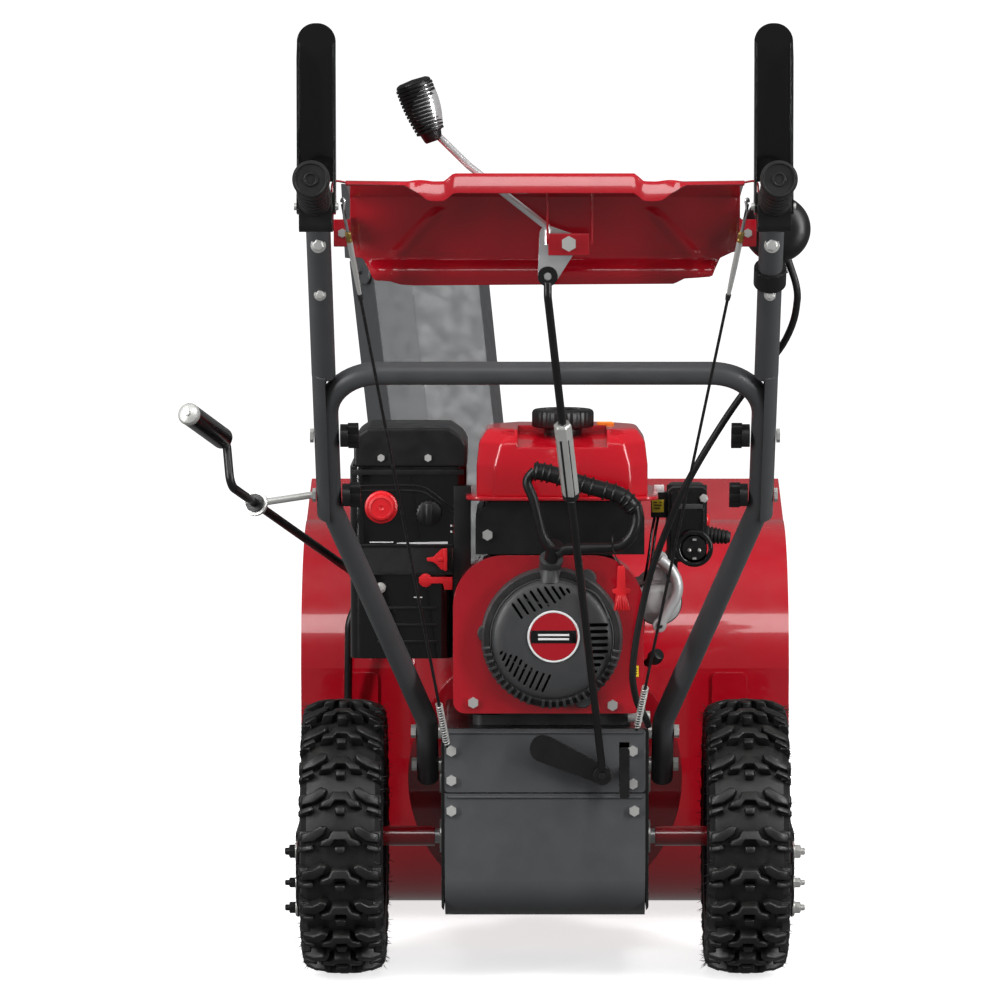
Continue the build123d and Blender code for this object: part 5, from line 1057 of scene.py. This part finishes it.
# ---------------------------------------------------------------- engine foot, dipstick and drain
low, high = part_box("engine_shroud")
drain = Vector((high.x - 0.018, high.y - 0.004, low.z - 0.008))
piece("oil_drain", [turned([(0.0, 0.0), (0.0068, 0.0), (0.0072, 0.001), (0.0072, 0.018), (0.006, 0.02),
    (0.006, 0.026), (0.0, 0.0265)], drain, ACROSS, 28)], ZINC, bevel=0.0005)
piece("dipstick", [turned([(0.0, 0.0), (0.005, 0.0), (0.005, 0.012), (0.0085, 0.013), (0.009, 0.02),
    (0.007, 0.026), (0.0, 0.027)], (high.x + 0.004, high.y - 0.008, low.z + 0.055),
    Vector((0.55, -0.65, 0.5)).normalized(), 24)], PLASTIC, bevel=0.0008)
piece("engine_label", block((high.x - 0.0105, low.y - 0.0006, low.z + 0.05), (0.009, 0.001, 0.013)), YELLOW)
piece("engine_label_marks", [block((high.x - 0.0105, low.y - 0.0014, low.z + 0.05 + z),
    (0.006, 0.0006, 0.001)) for z in (-0.003, 0.0, 0.003)], SHADE_AND_PRINT_BLACK)

# ---------------------------------------------------------------- grips, crank grip, tube bolts
def points_of(node):
    """A CAD node's points, in the scene's frame."""
    return [nodes[node].matrix_world @ v.co for v in nodes[node].data.vertices]


def end_of(node, side, depth):
    """The middle and the spread of a node's rearmost points on one side."""
    spots = [p for p in points_of(node) if p.x * side > 0]
    rear_most = min(p.y for p in spots)
    near = [p for p in spots if p.y < rear_most + depth]
    lows = Vector((min(p.x for p in near), min(p.y for p in near), min(p.z for p in near)))
    highs = Vector((max(p.x for p in near), max(p.y for p in near), max(p.z for p in near)))
    return (lows + highs) / 2, highs - lows


for side, name in ((-1, "left"), (1, "right")):
    centre, spread = end_of("handle_grips", side, 0.012)
    radius = max(spread.x, spread.z) / 2
    piece(f"grip_end_{name}", [turned([(0.0, 0.0065), (0.0052, 0.0065), (0.0058, 0.0078), (0.007, 0.0078),
        (0.0076, 0.0062), (radius * 0.8, 0.0068), (radius * 0.84, 0.0082), (radius * 0.9, 0.0082),
        (radius * 0.98, 0.006), (radius * 1.00, 0.002), (radius * 0.98, -0.002), (0.0, -0.002)], centre,
        REAR, 56)], RUBBER)
    mesh = nodes["upper_handles"].data
    for z_part, size in ((0.894, 0.0058), (0.838, 0.0046)):
        crossing = []
        for edge in mesh.edges:
            a, b = (nodes["upper_handles"].matrix_world @ mesh.vertices[i].co for i in edge.vertices)
            if (a.z - z_part) * (b.z - z_part) < 0 and a.x * side > 0:
                crossing.append(a.lerp(b, (z_part - a.z) / (b.z - a.z)))
        left_most, right_most = min(p.x for p in crossing), max(p.x for p in crossing)
        place = Vector(((left_most + right_most) / 2, min(p.y for p in crossing) + 0.0004, z_part))
        bolt = [turned([(0.0, 0.0), (size * 1.45, 0.0), (size * 1.45, 0.0014), (0.0, 0.0014)], place, REAR,
            28), turned([(0.0, 0.0014), (size * 1.15, 0.0014), (size * 1.15, 0.005), (size * 0.9, 0.0062),
            (0.0, 0.0062)], place, REAR, 6)]
        piece(f"tube_bolt_{name}_{int(z_part * 1000)}", bolt, ZINC, bevel=0.0003)
grip_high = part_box("crank_grip")[1]
outer = end_of("crank_grip", -1, 0.01)[0]
inner_spots = [p for p in points_of("crank_grip") if p.y > grip_high.y - 0.01]
inner = sum(inner_spots, Vector()) / len(inner_spots)
out_way = (outer - inner).normalized()
tip = outer + out_way * 0.002
piece("crank_grip_cap", [turned([(0.0, -0.004), (0.012, -0.004), (0.0125, 0.0), (0.011, 0.0034),
    (0.007, 0.0056), (0.0, 0.0062)], tip, out_way, 36), turned([(0.0, 0.006), (0.0036, 0.006),
    (0.0036, 0.0078), (0.0, 0.008)], tip, out_way, 6)], ZINC, "crank_grip")

# ---------------------------------------------------------------- headlight, skid shoes, rear cover edges
light = middle("headlight")
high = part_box("headlight")[1]
piece("headlight_rim", turned([(0.03, 0.0), (0.0355, 0.0), (0.0365, 0.0015), (0.0365, 0.006),
    (0.0345, 0.0075), (0.03, 0.006)], (light.x, high.y - 0.0065, high.z - 0.037), (0, 1, 0), 56), GLOSS,
    "headlight")
piece("headlight_lens", [turned([(0.0, -0.002), (0.0305, -0.002), (0.03, 0.002), (0.02, 0.0046),
    (0.0, 0.0055)], (light.x, high.y - 0.0055, high.z - 0.037), (0, 1, 0), 56)], LENS, "headlight")
piece("headlight_flutes", [tube([(light.x + x, high.y + 0.001 - abs(x) * 0.12, high.z - 0.037 - h),
    (light.x + x, high.y + 0.001 - abs(x) * 0.12, high.z - 0.037 + h)], 0.0008, 8) for x,
    h in ((-0.02, 0.018), (-0.01, 0.024), (0.0, 0.026), (0.01, 0.024), (0.02, 0.018))], LENS, "headlight")
house_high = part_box("auger_housing")[1]
for side, name in ((-1, "left"), (1, "right")):
    studs, plates = [], []
    heel = [(0.33, 0.03), (0.345, 0.008), (0.57, 0.001), (0.57, 0.105), (0.345, 0.105), (0.33, 0.095)]
    piece(f"shoe_heel_{name}", slab(heel, (side * (house_high.x + 0.0002 + (0.003 if side < 0 else 0)), 0,
        0), (0, 1, 0), UP, 0.003), BLACK, bevel=0.0005)
    for y, z, size in ((0.345, 0.092, 0.0095), (0.345, 0.052, 0.007), (0.345, 0.02, 0.008)):
        place = Vector((side * (house_high.x + 0.0032), y, z))
        out = Vector((side, 0, 0))
        plates.append(turned([(0.0, -0.001), (size * 1.35, -0.001), (size * 1.35, 0.0015), (0.0, 0.0015)],
            place, out, 28))
        studs.append(turned([(0.0, 0.0015), (size, 0.0015), (size, 0.0085), (size * 0.85, 0.0095),
            (size * 0.55, 0.0095), (size * 0.55, 0.014), (size * 0.4, 0.015), (0.0, 0.015)], place, out, 6))
    piece(f"shoe_washers_{name}", plates, ZINC, bevel=0.0003)
    piece(f"shoe_nuts_{name}", studs, BLACK if side < 0 else ZINC, bevel=0.0004)
for node in ("rear_cover_upper", "rear_cover_lower"):
    low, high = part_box(node)
    edge_z = high.z - 0.004
    piece(node + "_fold", tube([(low.x + 0.004, low.y - 0.0006, edge_z),
        (high.x - 0.004, low.y - 0.0006, edge_z)], 0.0016, 10), GREY)

# ---------------------------------------------------------------- camera and light
CAMERA_DOWN = 6
FLOOR_RADIUS = 30
SURROUND_RADIUS = 32
FADE_START, FADE_END = 0.4, 2.6
WORLD_STRENGTH = 0.16
camera = bpy.data.objects.new("camera", bpy.data.cameras.new("camera"))
scene.collection.objects.link(camera)
camera.data.lens = 191.5
camera.data.sensor_width = 36
camera.data.shift_x = -0.045
camera.data.shift_y = 0.08
camera.location = (0, -6.314, 1.137)
camera.rotation_euler = (math.radians(90 - CAMERA_DOWN), 0, 0)
scene.camera = camera


def backdrop(name, build, place, colour, glow):
    """A white stage surface that glows, and neither lights the object nor shows in it."""
    mesh = bpy.data.meshes.new(name)
    build.to_mesh(mesh)
    build.free()
    made = bpy.data.objects.new(name, mesh)
    made.location = place
    scene.collection.objects.link(made)
    material = finish(name + "_white", colour, 0.8, grain=(30, 0.02), tone=0.01, bevel=0, specular=0.0)
    shader = material.node_tree.nodes["Principled BSDF"]
    shader.inputs["Emission Color"].default_value = (1, 1, 1, 1)
    tree = material.node_tree
    place_node = tree.nodes.new("ShaderNodeTexCoord")
    distance = tree.nodes.new("ShaderNodeVectorMath")
    distance.operation = "LENGTH"
    tree.links.new(place_node.outputs["Object"], distance.inputs[0])
    fade = tree.nodes.new("ShaderNodeMapRange")
    for socket, value in zip(("From Min", "From Max", "To Min", "To Max"),
            (FADE_START, FADE_END, glow, 1.0)):
        fade.inputs[socket].default_value = value
    tree.links.new(distance.outputs["Value"], fade.inputs["Value"])
    tree.links.new(fade.outputs["Result"], shader.inputs["Emission Strength"])
    mesh.materials.append(material)
    made.visible_glossy = False
    made.visible_diffuse = False
    return made


build = bmesh.new()
bmesh.ops.create_circle(build, cap_ends=True, segments=96, radius=FLOOR_RADIUS)
backdrop("floor", build, (0, 0, cad_bounds[0][2] - 0.0005), (0.8, 0.8, 0.8), 0.72)
build = bmesh.new()
bmesh.ops.create_uvsphere(build, u_segments=48, v_segments=24, radius=SURROUND_RADIUS)
surround = backdrop("surround", build, (0, 0, 0), (0.5, 0.5, 0.5), 1.0)
surround.visible_shadow = False
surround.visible_transmission = False


def lamp(name, place, aim, size, power, shiny=True):
    """A soft rectangular studio light."""
    light = bpy.data.lights.new(name, "AREA")
    light.shape = "RECTANGLE"
    light.size, light.size_y = size
    light.energy = power
    body = bpy.data.objects.new(name, light)
    body.visible_glossy = shiny
    body.location = place
    body.rotation_euler = (Vector(aim) - Vector(place)).to_track_quat("-Z", "Y").to_euler()
    scene.collection.objects.link(body)


lamp("strip_left", (-2.0, -1.6, 1.5), (0, 0, 0.5), (0.28, 2.4), 62)
lamp("strip_right", (2.1, -1.5, 1.4), (0, 0, 0.5), (0.28, 2.4), 62)
lamp("top", (0, -0.3, 3.0), (0, 0, 0.4), (2.2, 1.4), 55, shiny=False)
lamp("rear_high", (0.2, -3.4, 3.4), (0, 0, 0.5), (2.6, 1.3), 44)
lamp("front_fill", (0, 3.2, 1.8), (0, 0, 0.5), (3.0, 1.6), 75, shiny=False)
world = bpy.data.worlds.new("studio")
scene.world = world
world.use_nodes = True
world.node_tree.nodes["Background"].inputs["Color"].default_value = (1, 1, 1, 1)
world.node_tree.nodes["Background"].inputs["Strength"].default_value = WORLD_STRENGTH
scene.view_settings.view_transform = "Standard"
scene.view_settings.look = "None"
scene.view_settings.exposure = 0.0
